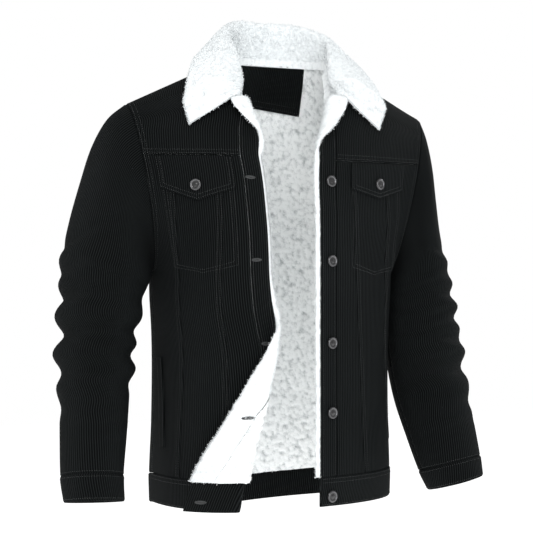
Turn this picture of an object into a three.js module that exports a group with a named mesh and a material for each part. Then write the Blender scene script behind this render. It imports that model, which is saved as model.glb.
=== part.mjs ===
// Sherpa lined corduroy jacket, open at the front and filled out as if it were worn.
// Millimetres, +Z up. The front faces -Y and the wearer's left is +X. The origin lies midway between
// the two points where the shoulder seams meet the neck.
import * as THREE from "three";

// Cloth walls, and the gap kept between neighbouring pieces
const SHELL = 1.8;
const LINING = 5.5;
const SEAM = 0.3;
const LAYER_GAP = 1.3; // between the shell and the lining
const LINING_SEAM = 1; // between the linings of front and back
const BAND_WALL = 4; // waistband and cuffs are two layers with stiffening
const PROUD = 2; // the facing stands this far past the front edges
const CURL = 6; // inner radius where a front rolls back on itself

// Seams of a front and the parts on it, measured along the cloth from its free edge
const PLACKET = 29;
const INNER_SEAM = { top: 58, bottom: 90 };
const OUTER_SEAM = { top: 128, bottom: 173 };
const FLAPS = {
  left: { from: 58, to: 172, top: 0.756, corner: 0.693, tip: 0.672 },
  right: { from: 42, to: 156, top: 0.756, corner: 0.683, tip: 0.655 },
};
const FLAP_BUTTON_UP = 0.034; // above the flap's tip
const WELT = { lower: 208, upper: 214, width: 18, from: 0.13, to: 0.33 };
const FRONT_BUTTONS = [0.711, 0.527, 0.363, 0.212, 0.022];
const BUTTON_INSET = 19;

// Heights on the body, as shares of the way from hem to shoulder seam
const BAND_TOP = 0.065;
const UNDERARM = 0.5;
const YOKE = 0.76;
const NOTCH = 0.88; // where the collar ends and the front edge starts
const CUFF_TOP = 0.9; // the same for a sleeve, from armhole to cuff end

// The points where the sleeve meets the shoulder seam and the side seam, on the wearer's left
const TIP = [236, 5, -77];
const UNDER = [190, 25, -318];
const ARMHOLE_DEPTH = 46;
const NECK_POINT = [77, -14, 0];
const NAPE = [0, 70, 12];

// A table of named columns
const table = (names, rows) =>
  rows.map((row) =>
    Object.fromEntries(names.split(" ").map((name, i) => [name, row[i]])),
  );

// Side seam, hem to underarm
const SIDE = table("at x y z", [
  [0.0, 187, 28, -656],
  [BAND_TOP, 188, 28, -613],
  [0.2, 185, 28, -531],
  [0.35, 185, 27, -427],
  [UNDERARM, ...UNDER],
]);

// Where each row of the body meets the armhole: 180 degrees is the underarm and 0 the shoulder seam
const ARMHOLE = table("at turn", [
  [UNDERARM, 180],
  [0.53, 157.5],
  [0.57, 135],
  [0.62, 112.5],
  [0.685, 90],
  [YOKE, 67.5],
  [0.82, 51],
  [NOTCH, 36],
  [1, 0],
]);

// Front edge of the wearer's left, hem to notch, then the neckline to the shoulder seam.
// heading is the way the cloth runs into the edge, and fold the width turned back there.
const LEFT_EDGE = table("at x y z heading fold", [
  [0.0, 19, -116, -656, 13, 0],
  [BAND_TOP, 19, -117, -614, 13, 0],
  [0.2, 19, -118, -530, 14, 0],
  [0.35, 19, -118, -432, 15, 0],
  [UNDERARM, 20, -116, -322, 16, 0],
  [0.62, 22, -111, -246, 14, 0],
  [YOKE, 25, -102, -158, 10, 0],
  [0.82, 42, -91, -113, 8, 16],
  [NOTCH, 57, -75, -70, 8, PLACKET],
  [0.94, 70, -46, -34, 8, 0],
  [1.0, ...NECK_POINT, 7, 0],
]);

// The same for the wearer's right front, which hangs open and rolls back towards the hem
const RIGHT_EDGE = table("at x y z heading fold", [
  [0.0, 116, -124, -654, 24, 84],
  [BAND_TOP, 110, -128, -612, 20, 76],
  [0.13, 103, -131, -572, 16, 64],
  [0.2, 94, -134, -530, 8, 51],
  [0.28, 83, -136, -480, 2, 37],
  [0.35, 73, -136, -432, -4, 22],
  [0.42, 67, -134, -378, -9, 6],
  [UNDERARM, 65, -130, -322, -12, 0],
  [0.62, 65, -120, -246, -14, 0],
  [YOKE, 71, -105, -158, -12, 0],
  [0.82, 83, -94, -120, -4, 15],
  [NOTCH, 91, -76, -80, 4, PLACKET],
  [0.94, 85, -46, -38, 6, 0],
  [1.0, ...NECK_POINT, 7, 0],
]);

// How a row leaves the side or armhole: its angle towards the front, and the two handles of its
// curve as shares of the row's width
const BOW = table("at angle outer inner", [
  [0.0, 90, 0.33, 0.42],
  [0.35, 90, 0.33, 0.42],
  [UNDERARM, 90, 0.33, 0.42],
  [0.53, 86, 0.27, 0.42],
  [0.57, 73, 0.22, 0.41],
  [0.62, 53, 0.215, 0.4],
  [0.685, 30, 0.235, 0.38],
  [YOKE, 25, 0.3, 0.36],
  [NOTCH, 26, 0.32, 0.34],
  [1.0, 7, 0.33, 0.33],
]);

// Middle of the back
const SPINE = table("at y z", [
  [0.0, 162, -680],
  [BAND_TOP, 164, -638],
  [0.2, 160, -548],
  [0.35, 156, -440],
  [UNDERARM, 152, -325],
  [0.62, 147, -240],
  [YOKE, 137, -148],
  [NOTCH, 112, -62],
  [1.0, NAPE[1], NAPE[2]],
]);

// Sleeves: the outermost and the innermost point of each ring, its half depth from front to back,
// and how far it leans with the forearm
const RIGHT_SLEEVE = table("at outX outY outZ inX inY inZ depth lean", [
  [0.0, ...TIP, ...UNDER, ARMHOLE_DEPTH, 0],
  [0.08, 262, 8, -100, 190.5, 25, -320, 52, 0],
  [0.16, 283, 12, -140, 191, 25, -323, 57, 0],
  [0.24, 298, 16, -190, 192, 26, -327, 62, 0],
  [0.32, 313, 18, -246, 194, 26, -333, 66, 0],
  [0.4, 323, 20, -300, 200, 26, -346, 68, 0],
  [0.5, 325, 20, -362, 211, 24, -382, 65, 3],
  [0.6, 328, 15, -420, 222, 17, -432, 60, 8],
  [0.7, 330, 3, -482, 230, 5, -490, 56, 13],
  [0.8, 336, -22, -546, 241, -20, -551, 51, 15],
  [0.9, 340, -44, -604, 252, -42, -608, 47, 11],
  [1.0, 338, -58, -639, 255, -56, -642, 45, 9],
]);
const LEFT_SLEEVE = table("at outX outY outZ inX inY inZ depth lean", [
  [0.0, ...TIP, ...UNDER, ARMHOLE_DEPTH, 0],
  [0.08, 247, 8, -102, 190.5, 25, -320, 52, 0],
  [0.16, 256, 10, -143, 191, 25, -323, 57, 0],
  [0.24, 262, 13, -193, 191.5, 26, -327, 62, 0],
  [0.32, 269, 15, -248, 192, 26, -334, 66, 0],
  [0.4, 281, 16, -302, 192, 25, -349, 68, 0],
  [0.5, 296, 16, -368, 191, 22, -392, 65, 3],
  [0.6, 306, 12, -430, 193, 14, -450, 60, 8],
  [0.7, 309, -2, -490, 199, 0, -510, 56, 13],
  [0.8, 311, -26, -549, 208, -24, -568, 51, 15],
  [0.9, 311, -46, -600, 218, -44, -618, 47, 11],
  [1.0, 308, -58, -628, 228, -56, -647, 45, 9],
]);
const ARMHOLE_GAP = 0.6; // each sleeve starts this far outside the body

// Folds pushed up along the arms: height on the arm, the turn round the sleeve where each is
// strongest, how far it reaches to either side, its rise over a quarter turn, its size and width
const RIGHT_FOLDS = table("z turn reach rise size width", [
  [-296, 20, 75, 30, 6, 13],
  [-330, 10, 80, 34, 5, 12],
  [-382, 0, 100, 20, 8, 15],
  [-440, -10, 110, 10, 10, 17],
  [-458, 150, 60, -8, 7, 13],
  [-424, 160, 50, -6, 5, 12],
  [-384, 165, 60, -6, 5, 15],
  [-482, 0, 90, 18, 6, 17],
]);
const LEFT_FOLDS = table("z turn reach rise size width", [
  [-335, 15, 90, 10, 6, 13],
  [-372, 15, 95, 14, 7, 13],
  [-408, 15, 95, 16, 7, 13],
  [-440, 20, 100, 12, 8, 16],
  [-300, 60, 70, 16, 5, 12],
  [-490, 40, 80, -20, 5, 18],
]);

// The collar from the middle of the back to its last point before the notch: its turned top, the
// middle of its fall and its outer edge, each on the middle of its thickness
const COLLAR = 8;
const LEFT_COLLAR = table("at topX topY topZ midX midY midZ edgeX edgeY edgeZ", [
  [0, 0, 62, 63, 0, 88, 36, 0, 102, -4],
  [0.25, 50, 46, 60, 70, 64, 32, 84, 82, -8],
  [0.5, 84, 4, 36, 106, 8, 16, 130, 8, -10],
  [0.7, 76, -27, 4, 112, -28, -8, 150, -20, -36],
  [0.85, 66, -52, -32, 104, -64, -38, 152, -57, -70],
]);
const RIGHT_COLLAR = table("at topX topY topZ midX midY midZ edgeX edgeY edgeZ", [
  [0, 0, 62, 63, 0, 88, 36, 0, 102, -4],
  [0.25, 50, 46, 60, 70, 64, 32, 84, 82, -8],
  [0.5, 84, 4, 36, 106, 8, 16, 130, 8, -10],
  [0.7, 84, -32, 2, 116, -34, -10, 150, -24, -36],
  [0.85, 84, -58, -36, 120, -66, -42, 166, -50, -76],
]);
const LEFT_TIP = { cloth: 104, at: 0.834 };
const RIGHT_TIP = { cloth: 98, at: 0.832 };

const radians = (degrees) => (degrees * Math.PI) / 180;
const vector = (x, y, z) => new THREE.Vector3(x, y, z);
const mix = (a, b, share) => a + (b - a) * share;
const smooth = THREE.MathUtils.smoothstep;
const steps = (from, to, count) =>
  Array.from({ length: count + 1 }, (_, i) => mix(from, to, i / count));

// Every column of a table at a place between its rows, on a smooth curve through them
function read(rows, at) {
  let i = 0;
  while (i < rows.length - 2 && at > rows[i + 1].at) i++;
  const [a, b] = [rows[i], rows[i + 1]];
  const [before, after] = [rows[i - 1] ?? a, rows[i + 2] ?? b];
  const span = b.at - a.at;
  const t = (at - a.at) / span;
  const out = {};
  for (const key of Object.keys(a)) {
    const startSlope = (b[key] - before[key]) / (b.at - before.at);
    const endSlope = (after[key] - a[key]) / (after.at - a.at);
    out[key] =
      a[key] * (1 + 2 * t) * (1 - t) ** 2 +
      b[key] * t * t * (3 - 2 * t) +
      span * t * (1 - t) * (startSlope * (1 - t) - endSlope * t);
  }
  return out;
}

// The armhole at a turn: 0 at the shoulder seam, 90 at the front, 180 at the underarm
function armhole(side, turn) {
  const up = (Math.cos(radians(turn)) + 1) / 2;
  return vector(
    side * mix(UNDER[0], TIP[0], up),
    mix(UNDER[1], TIP[1], up) - ARMHOLE_DEPTH * Math.sin(radians(turn)),
    mix(UNDER[2], TIP[2], up),
  );
}

// The outer end of a row, on the side seam or the armhole. facing is 1 in front and -1 at the back.
function outerEnd(side, at, facing) {
  if (at > UNDERARM) return armhole(side, facing * read(ARMHOLE, at).turn);
  const { x, y, z } = read(SIDE, at);
  return vector(side * x, y, z);
}

// A row from its inner end outwards, as points with the length along the cloth at each
const ROW_STEPS = 50;
function measured(pointAt) {
  const points = steps(0, 1, ROW_STEPS).map(pointAt);
  const lengths = [0];
  for (let i = 1; i < points.length; i++)
    lengths.push(lengths[i - 1] + points[i].distanceTo(points[i - 1]));
  return { points, lengths, width: lengths.at(-1) };
}

// The point of a row at a length along it, carried straight on past either end
function along({ points, lengths }, length) {
  let i = 0;
  while (i < points.length - 2 && length > lengths[i + 1]) i++;
  const share = (length - lengths[i]) / (lengths[i + 1] - lengths[i]);
  return points[i].clone().lerp(points[i + 1], share);
}

function bowed(outer, inner, side, facing, heading, bow) {
  const gap = Math.hypot(outer.x - inner.x, outer.y - inner.y);
  const a = radians(bow.angle);
  const b = radians(heading);
  const leave = vector(-side * Math.cos(a), -facing * Math.sin(a), 0);
  const arrive = vector(-side * Math.cos(b), -facing * Math.sin(b), 0);
  const first = outer.clone().addScaledVector(leave, bow.outer * gap);
  const second = inner.clone().addScaledVector(arrive, -bow.inner * gap);
  first.z = mix(outer.z, inner.z, 1 / 3);
  second.z = mix(outer.z, inner.z, 2 / 3);
  return new THREE.CubicBezierCurve3(inner, second, first, outer);
}

function remembered(make) {
  const kept = new Map();
  return (at) => {
    const key = at.toFixed(6);
    if (!kept.has(key)) kept.set(key, make(at));
    return kept.get(key);
  };
}

// The outward normal of a surface from its points close by. Next to the shoulder seam it turns to
// one direction, so that the walls of front and back meet squarely.
const SHOULDER_UP = vector(0, 0.12, 1).normalize();
function normal(surface, a, b) {
  if (surface.away) return surface.away(a, b);
  const stepA = 0.5;
  const stepB = 0.002;
  const acrossA = surface(a + stepA, b).sub(surface(a - stepA, b));
  const acrossB = surface(a, b + stepB).sub(surface(a, b - stepB));
  const out = acrossA.cross(acrossB).normalize().multiplyScalar(surface.outward);
  return surface.onBody ? out.lerp(SHOULDER_UP, smooth(b, 0.96, 1)).normalize() : out;
}
const offset = (surface, a, b, out) => surface(a, b).addScaledVector(normal(surface, a, b), out);

// A front as a surface: cloth is the length along it from its free edge, at the height on it.
// The part within the fold's width rolls round a curl and lies back over the rest.
function frontSurface(side, edge) {
  const row = remembered((at) => {
    const { x, y, z, heading, fold } = read(edge, at);
    const inner = vector(side * x, y, z);
    const curve = bowed(outerEnd(side, at, 1), inner, side, 1, heading, read(BOW, at));
    return { ...measured((t) => curve.getPoint(t)), fold: Math.max(0, fold) };
  });
  const flat = (length, at) => along(row(at), length);
  flat.outward = side;
  flat.onBody = true;
  const surface = (cloth, at) => {
    const past = row(at).fold - cloth;
    if (past <= 0) return flat(-past, at);
    const turned = Math.min(past / CURL, Math.PI);
    const back = Math.max(0, past - Math.PI * CURL);
    const place = back - CURL * Math.sin(turned);
    const lift = CURL * (1 - Math.cos(turned)) + back * 0.05;
    return offset(flat, place, at, lift);
  };
  surface.outward = side;
  surface.onBody = true;
  surface.fold = (at) => row(at).fold;
  surface.width = (at) => row(at).width + row(at).fold;
  return surface;
}

// The top of the back: along one shoulder seam to the neck, and round the neck to the nape
const NECK_SHARE = 0.4;
function shoulderAndNeck(t) {
  if (t > NECK_SHARE)
    return vector(...NECK_POINT).lerp(vector(...TIP), (t - NECK_SHARE) / (1 - NECK_SHARE));
  const turn = ((t / NECK_SHARE) * Math.PI) / 2;
  return vector(
    NECK_POINT[0] * Math.sin(turn),
    mix(NECK_POINT[1], NAPE[1], Math.cos(turn)),
    mix(NECK_POINT[2], NAPE[2], Math.cos(turn)),
  );
}

// The back as a surface: cloth is the length from the middle, positive to the wearer's left
const halfBack = remembered((at) => {
  const { y, z } = read(SPINE, at);
  const curve = bowed(outerEnd(1, at, -1), vector(0, y, z), 1, -1, 0, read(BOW, at));
  const top = smooth(at, YOKE, 1) ** 2;
  return measured((t) => curve.getPoint(t).lerp(shoulderAndNeck(t), top));
});
const backSurface = (cloth, at) => {
  const point = along(halfBack(at), Math.abs(cloth));
  point.x *= cloth < 0 ? -1 : 1;
  return point;
};
backSurface.outward = -1;
backSurface.onBody = true;
backSurface.width = (at) => halfBack(at).width;

// How far the folds push a sleeve out at a turn and height
function foldHeight(folds, turn, z) {
  let height = 0;
  for (const fold of folds) {
    const off = ((((turn - fold.turn) % 360) + 540) % 360) - 180;
    if (Math.abs(off) > fold.reach) continue;
    const fade = Math.cos((off / fold.reach) * (Math.PI / 2)) ** 1.3;
    const away = Math.abs(z - fold.z - (fold.rise * off) / 90) / fold.width;
    const ridge = Math.exp(-away * away) - 0.45 * Math.exp(-2 * (away - 1.7) ** 2);
    height += fold.size * fade * ridge;
  }
  return height;
}

// A sleeve as a surface: turn in degrees round it from its outer side to the front, and the way
// down it from armhole to cuff
function sleeveSurface(side, rings, folds) {
  const surface = (turn, at) => {
    const ring = read(rings, at);
    const out = vector(ring.outX, ring.outY, ring.outZ);
    const inn = vector(ring.inX, ring.inY, ring.inZ);
    const centre = out.clone().add(inn).multiplyScalar(0.5);
    const reach = out.clone().sub(centre);
    const lean = radians(ring.lean);
    const forward = vector(0, -Math.cos(lean), Math.sin(lean));
    const c = Math.cos(radians(turn));
    const s = Math.sin(radians(turn));
    const point = centre.addScaledVector(reach, c).addScaledVector(forward, ring.depth * s);
    const fading = smooth(at, 0.1, 0.25) * (1 - smooth(at, 0.82, 0.9));
    const away = reach.normalize().multiplyScalar(c).addScaledVector(forward, s);
    point.addScaledVector(away, foldHeight(folds, turn, point.z) * fading);
    point.x = side * (point.x + ARMHOLE_GAP);
    return point;
  };
  surface.away = (turn, at) => {
    const ring = read(rings, at);
    const reach = vector(ring.outX - ring.inX, ring.outY - ring.inY, ring.outZ - ring.inZ);
    const lean = radians(ring.lean);
    const forward = vector(0, -Math.cos(lean), Math.sin(lean));
    const away = reach.clone().normalize().multiplyScalar(ring.depth * Math.cos(radians(turn)))
      .addScaledVector(forward, (reach.length() / 2) * Math.sin(radians(turn)));
    away.x *= side;
    return away.normalize();
  };
  return surface;
}

const leftFront = frontSurface(1, LEFT_EDGE);
const rightFront = frontSurface(-1, RIGHT_EDGE);
const leftSleeve = sleeveSurface(1, LEFT_SLEEVE, LEFT_FOLDS);
const rightSleeve = sleeveSurface(-1, RIGHT_SLEEVE, RIGHT_FOLDS);

// Two like grids of points joined along their edges into one closed body
function closedWall(outside, inside, closed = false) {
  const rows = outside.length;
  const columns = outside[0].length;
  const points = [...outside.flat(), ...inside.flat()];
  const last = rows - 1;
  const index = (side, r, c) => (side * rows + r) * columns + (c % columns);
  const triangles = [];
  const quad = (a, b, c, d) => triangles.push(a, b, d, b, c, d);
  for (let c = 0; c < (closed ? columns : columns - 1); c++) {
    for (let r = 0; r < last; r++) {
      quad(index(0, r, c), index(0, r, c + 1), index(0, r + 1, c + 1), index(0, r + 1, c));
      quad(index(1, r, c), index(1, r + 1, c), index(1, r + 1, c + 1), index(1, r, c + 1));
    }
    quad(index(0, 0, c), index(1, 0, c), index(1, 0, c + 1), index(0, 0, c + 1));
    quad(index(0, last, c), index(0, last, c + 1), index(1, last, c + 1), index(1, last, c));
  }
  if (!closed)
    for (let r = 0; r < last; r++) {
      const end = columns - 1;
      quad(index(0, r, 0), index(0, r + 1, 0), index(1, r + 1, 0), index(1, r, 0));
      quad(index(0, r, end), index(1, r, end), index(1, r + 1, end), index(0, r + 1, end));
    }
  return solid(points, triangles);
}

// A mesh of points and triangles, turned right side out
function solid(points, triangles) {
  let volume = 0;
  for (let t = 0; t < triangles.length; t += 3) {
    const [a, b, c] = triangles.slice(t, t + 3).map((i) => points[i]);
    volume += a.dot(b.clone().cross(c));
  }
  if (volume < 0) triangles.reverse();
  const geometry = new THREE.BufferGeometry();
  const numbers = points.flatMap((point) => point.toArray());
  geometry.setAttribute("position", new THREE.Float32BufferAttribute(numbers, 3));
  geometry.setIndex(triangles);
  geometry.computeVertexNormals();
  return geometry;
}

// One side of a wall: a grid of places on a surface, each moved out along its normal
const layer = (surface, places, out) =>
  places.map((row) => row.map(([a, b]) => offset(surface, a, b, out)));
const wall = (surface, places, outer, inner, closed) =>
  closedWall(layer(surface, places, outer), layer(surface, places, inner), closed);
const grid = (us, vs, place) => vs.map((v) => us.map((u) => place(u, v)));

// A round body from its profile of radius and height, both ends on the axis
const BUTTON_SIDES = 12;
function turned(profile) {
  const rings = profile.slice(1, -1);
  const points = rings.flatMap(([radius, height]) =>
    steps(0, 2 * Math.PI, BUTTON_SIDES)
      .slice(0, -1)
      .map((turn) => vector(radius * Math.cos(turn), radius * Math.sin(turn), height)),
  );
  const bottom = points.length;
  points.push(vector(0, 0, profile[0][1]), vector(0, 0, profile.at(-1)[1]));
  const at = (ring, side) => ring * BUTTON_SIDES + (side % BUTTON_SIDES);
  const top = rings.length - 1;
  const triangles = [];
  for (let s = 0; s < BUTTON_SIDES; s++) {
    triangles.push(bottom, at(0, s + 1), at(0, s), bottom + 1, at(top, s), at(top, s + 1));
    for (let r = 0; r < top; r++) {
      triangles.push(at(r, s), at(r, s + 1), at(r + 1, s + 1));
      triangles.push(at(r, s), at(r + 1, s + 1), at(r + 1, s));
    }
  }
  return solid(points, triangles);
}

const jacket = new THREE.Group();
const corduroy = { color: 0x16181a, roughness: 0.95, metalness: 0 };
const sherpa = { color: 0xe9eef0, roughness: 1, metalness: 0 };
const buttonFinish = { color: 0x101112, roughness: 0.25, metalness: 0.3 };
function add(name, geometry, finish) {
  const mesh = new THREE.Mesh(geometry, new THREE.MeshStandardMaterial(finish));
  mesh.name = name;
  jacket.add(mesh);
  return mesh;
}

// Rows of a panel, a little short of its seams at both ends
const ROW_GAP = 0.0004;
const inset = (rows) => [rows[0] + ROW_GAP, ...rows.slice(1, -1), rows.at(-1) - ROW_GAP];
const ARMHOLE_ROWS = [UNDERARM, 0.53, 0.57, 0.62, 0.685, YOKE];
const SHOULDER_ROWS = [YOKE, 0.8, 0.82, 0.84, 0.86, NOTCH];
const NECK_ROWS = steps(NOTCH, 1, 5);

// Layers of the body wall, as distances out from the surface
const LINING_OUT = -SHELL - LAYER_GAP;
const LINING_IN = LINING_OUT - LINING;
const LINED_SHARE = 0.993; // the lining stops this far across its outermost panel

const BUTTON = [
  [0, 0], [8.8, 0], [8.8, 2.8], [7.5, 3.6], [4.4, 2.5], [0, 2.6],
];
function addButton(name, front, cloth, at, height) {
  const mesh = add(name, turned(BUTTON), buttonFinish);
  mesh.position.copy(offset(front, cloth, at, height));
  mesh.quaternion.setFromUnitVectors(vector(0, 0, 1), normal(front, cloth, at));
}

for (const [name, front] of [
  ["left", leftFront],
  ["right", rightFront],
]) {
  const rolled = name === "right";
  const fixed = (cloth, at) => [cloth, at];
  const seam = ({ top, bottom }, at) => mix(bottom, top, (at - BAND_TOP) / (YOKE - BAND_TOP));
  const outermost = (at) => front.width(at) - SEAM / 2;
  const inner = (share, at) => [mix(PLACKET, seam(INNER_SEAM, at) - SEAM, share), at];
  const middle = (share, at) =>
    [mix(seam(INNER_SEAM, at), seam(OUTER_SEAM, at) - SEAM, share), at];
  const toSide = (share, at) => [mix(seam(OUTER_SEAM, at), outermost(at), share), at];
  // above the notch the yoke and the lining reach the neckline itself
  const toNeck = (share, at) =>
    [mix(at > NOTCH ? front.fold(at) : PLACKET, outermost(at), share), at];

  // closer rows and columns where the front rolls back
  const lowerRows = steps(BAND_TOP, 0.44, rolled ? 14 : 4);
  const panelRows = inset([...lowerRows, ...ARMHOLE_ROWS]);
  const edgeRows = inset([...lowerRows, ...ARMHOLE_ROWS, ...SHOULDER_ROWS.slice(1)]);
  const yokeRows = inset([...SHOULDER_ROWS, ...NECK_ROWS.slice(1)]);
  const edgeSteps = steps(0, PLACKET - 2 * SEAM, 4);
  const innerSteps = steps(0, 1, rolled ? 9 : 3);
  const panelSteps = steps(0, 1, 4);
  const panels = [
    ["placket", edgeSteps, edgeRows, fixed, 0.5],
    ["front_inner", innerSteps, panelRows, inner, 0],
    ["front_middle", panelSteps, panelRows, middle, 0],
    ["front_side", panelSteps, panelRows, toSide, 0],
    ["front_yoke", steps(0, 1, 8), yokeRows, toNeck, 0],
  ];
  for (const [piece, us, vs, place, outer] of panels)
    add(`${piece}_${name}`, wall(front, grid(us, vs, place), outer, -SHELL), corduroy);

  const facing = grid([-PROUD, ...edgeSteps], edgeRows, fixed);
  add(`facing_${name}`, wall(front, facing, LINING_OUT, LINING_IN), sherpa);
  // the lining keeps the columns of the panels outside it
  const behindPanels = (at) => [
    ...innerSteps.slice(0, -1).map((share) => inner(share, at)),
    ...[0, 0.5].map((share) => middle(share, at)),
    ...panelSteps.map((share) => toSide(share * LINED_SHARE, at)),
  ];
  const behindYoke = (at) => {
    const atYoke = behindPanels(YOKE);
    const width = (atYoke.at(-1)[0] - PLACKET) / LINED_SHARE;
    return atYoke.map(([cloth]) => toNeck((cloth - PLACKET) / width, at));
  };
  const lining = [...panelRows.slice(0, -1).map(behindPanels), ...yokeRows.map(behindYoke)];
  add(`lining_${name}`, wall(front, lining, LINING_OUT, LINING_IN), sherpa);

  const { from, to, top, corner, tip } = FLAPS[name];
  const flapPlace = (u, v) => {
    const lower = mix(corner, tip, 1 - Math.abs(2 * u - 1));
    return [mix(from, to, u), mix(top, lower, v)];
  };
  const flap = grid(steps(0, 1, 8), steps(0, 1, 4), flapPlace);
  add(`flap_${name}`, wall(front, flap, 2.8, SEAM), corduroy);
  addButton(`flap_button_${name}`, front, (from + to) / 2, tip + FLAP_BUTTON_UP, 2.8 + SEAM);

  const weltPlace = (u, v) =>
    [mix(WELT.lower, WELT.upper, v) + WELT.width * u, mix(WELT.from, WELT.to, v)];
  const welt = grid(steps(0, 1, 2), steps(0, 1, 7), weltPlace);
  add(`welt_${name}`, wall(front, welt, 2.4, 0.6), corduroy);
}

FRONT_BUTTONS.forEach((at, i) => {
  addButton(`button_${i + 1}`, leftFront, BUTTON_INSET, at, 0.5 + 2 * SEAM);
});

const NECK_STEPS = steps(0, NECK_SHARE, 5);
const halfSteps = [...NECK_STEPS, ...steps(NECK_SHARE, 1, 5).slice(1)];
const acrossBack = [...halfSteps.slice(1).reverse().map((t) => -t), ...halfSteps];
const backPlace = (gap) => (t, at) => {
  const { lengths } = halfBack(at);
  const cloth = lengths[Math.round(Math.abs(t) * ROW_STEPS)];
  return [Math.sign(t) * Math.min(cloth, lengths.at(-1) - gap / 2), at];
};
const backRows = inset([
  BAND_TOP, 0.2, 0.35, 0.45, ...ARMHOLE_ROWS, 0.82, 0.868, 0.9, 0.93, 0.96, 0.985, 1,
]);
const backGrid = (gap) => grid(acrossBack, backRows, backPlace(gap));
add("back", wall(backSurface, backGrid(SEAM), 0, -SHELL), corduroy);
add("lining_back", wall(backSurface, backGrid(LINING_SEAM), LINING_OUT, LINING_IN), sherpa);

// The patch hangs from the neck seam over the lining
const PATCH = { width: 154, from: 0.868, to: 0.985, gap: 0.9 };
const patch = grid(
  steps(-0.5, 0.5, 8),
  backRows.filter((at) => at >= PATCH.from && at <= PATCH.to),
  (u, at) => [PATCH.width * u, at],
);
const patchOut = LINING_IN - PATCH.gap;
add("neck_patch", wall(backSurface, patch, patchOut, patchOut - SHELL), corduroy);

// The waistband runs in one piece from one front edge round the back to the other
const BAND_OUT = 0.8;
function bandLayer(out) {
  return inset(steps(0, BAND_TOP, 2)).map((at) => {
    const run = (surface, from, to, count) =>
      steps(from, to, count).map((cloth) => offset(surface, cloth, at, out));
    const half = backSurface.width(at);
    return [
      ...run(rightFront, 0, 112, 16),
      ...run(rightFront, 112, rightFront.width(at), 7).slice(1, -1),
      ...run(backSurface, -half, half, 18),
      ...run(leftFront, leftFront.width(at), 0, 10).slice(1),
    ];
  });
}
add("waistband", closedWall(bandLayer(BAND_OUT), bandLayer(BAND_OUT - BAND_WALL)), corduroy);

const SLEEVE_SIDES = 16;
const allRound = steps(0, 360, SLEEVE_SIDES).slice(0, -1);
// each sleeve is two tubes, above and below the elbow, so that its hollow stays open to collision
const ELBOW = 0.43;
const upperArm = [...steps(0, 0.28, 5), ...steps(0.28, ELBOW - ROW_GAP, 6).slice(1)];
const lowerArm = [
  ...steps(ELBOW + ROW_GAP, 0.8, 15),
  ...steps(0.8, CUFF_TOP - ROW_GAP, 3).slice(1),
];
for (const [name, surface] of [
  ["left", leftSleeve],
  ["right", rightSleeve],
]) {
  const place = (turn, at) => [turn, at];
  for (const [half, rows] of [["upper", upperArm], ["lower", lowerArm]]) {
    const tube = wall(surface, grid(allRound, rows, place), 0, -SHELL, true);
    add(`sleeve_${half}_${name}`, tube, corduroy);
  }
  const cuff = grid(allRound, steps(CUFF_TOP + ROW_GAP, 1, 2), place);
  add(`cuff_${name}`, wall(surface, cuff, BAND_OUT, BAND_OUT - BAND_WALL, true), corduroy);
}

// The neckline from the nape to the neck point and on down the front to the roll, as places
function neckline(side, share) {
  const front = side > 0 ? leftFront : rightFront;
  const half = 0.5;
  if (share <= half) {
    const at = 1 - ROW_GAP;
    const step = Math.round((ROW_STEPS * NECK_SHARE * share) / half);
    return [backSurface, side * halfBack(at).lengths[step], at];
  }
  const at = mix(1 - ROW_GAP, NOTCH, (share - half) / (1 - half));
  return [front, front.fold(at), at];
}

// The middle line of the collar's wall at a share of the way round from the nape: up from the neck
// seam, over the turned top and down to the outer edge. Its end lies along the turned back front
// as far as the notch, and goes on from there to the tip.
const COLLAR_GAP = 0.6;
const COLLAR_LIFT = 10;
const COLLAR_STEPS = [0, 0.12, 0.25, 0.36, 0.43, 0.5, 0.57, 0.64, 0.75, 0.87, 1];
const COLLAR_SHARES = steps(0, 1, 10);
const ABOVE_NOTCH = NOTCH + 0.004;
function collarGuides(side, share) {
  const front = side > 0 ? leftFront : rightFront;
  const [rows, tip] = side > 0 ? [LEFT_COLLAR, LEFT_TIP] : [RIGHT_COLLAR, RIGHT_TIP];
  const last = rows.at(-1).at;
  if (share <= last) {
    const row = read(rows, share);
    return ["top", "mid", "edge"].map((key) =>
      vector(side * row[`${key}X`], row[`${key}Y`], row[`${key}Z`]));
  }
  const notch = offset(front, 3, ABOVE_NOTCH, LINING_IN / 2);
  const end = offset(front, tip.cloth, tip.at, COLLAR_LIFT);
  const guides = [notch, notch.clone().lerp(end, 0.5), end];
  return collarGuides(side, last).map((point, i) =>
    point.lerp(guides[i], (share - last) / (1 - last)));
}

function collarSection(side, share) {
  const base = offset(...neckline(side, share), COLLAR_GAP);
  const [top, mid, edge] = collarGuides(side, share);
  const stand = base.clone().lerp(top, 0.55);
  const curve = new THREE.CatmullRomCurve3([base, stand, top, mid, edge], false, "centripetal");
  return COLLAR_STEPS.map((t) => curve.getPoint(t));
}

const halfCollar = (side) => COLLAR_SHARES.map((share) => collarSection(side, share));
const collarMiddle = [...halfCollar(-1).reverse().slice(0, -1), ...halfCollar(1)];
const collarBase = [
  ...COLLAR_SHARES.map((share) => neckline(-1, share)).reverse().slice(0, -1),
  ...COLLAR_SHARES.map((share) => neckline(1, share)),
];
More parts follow.
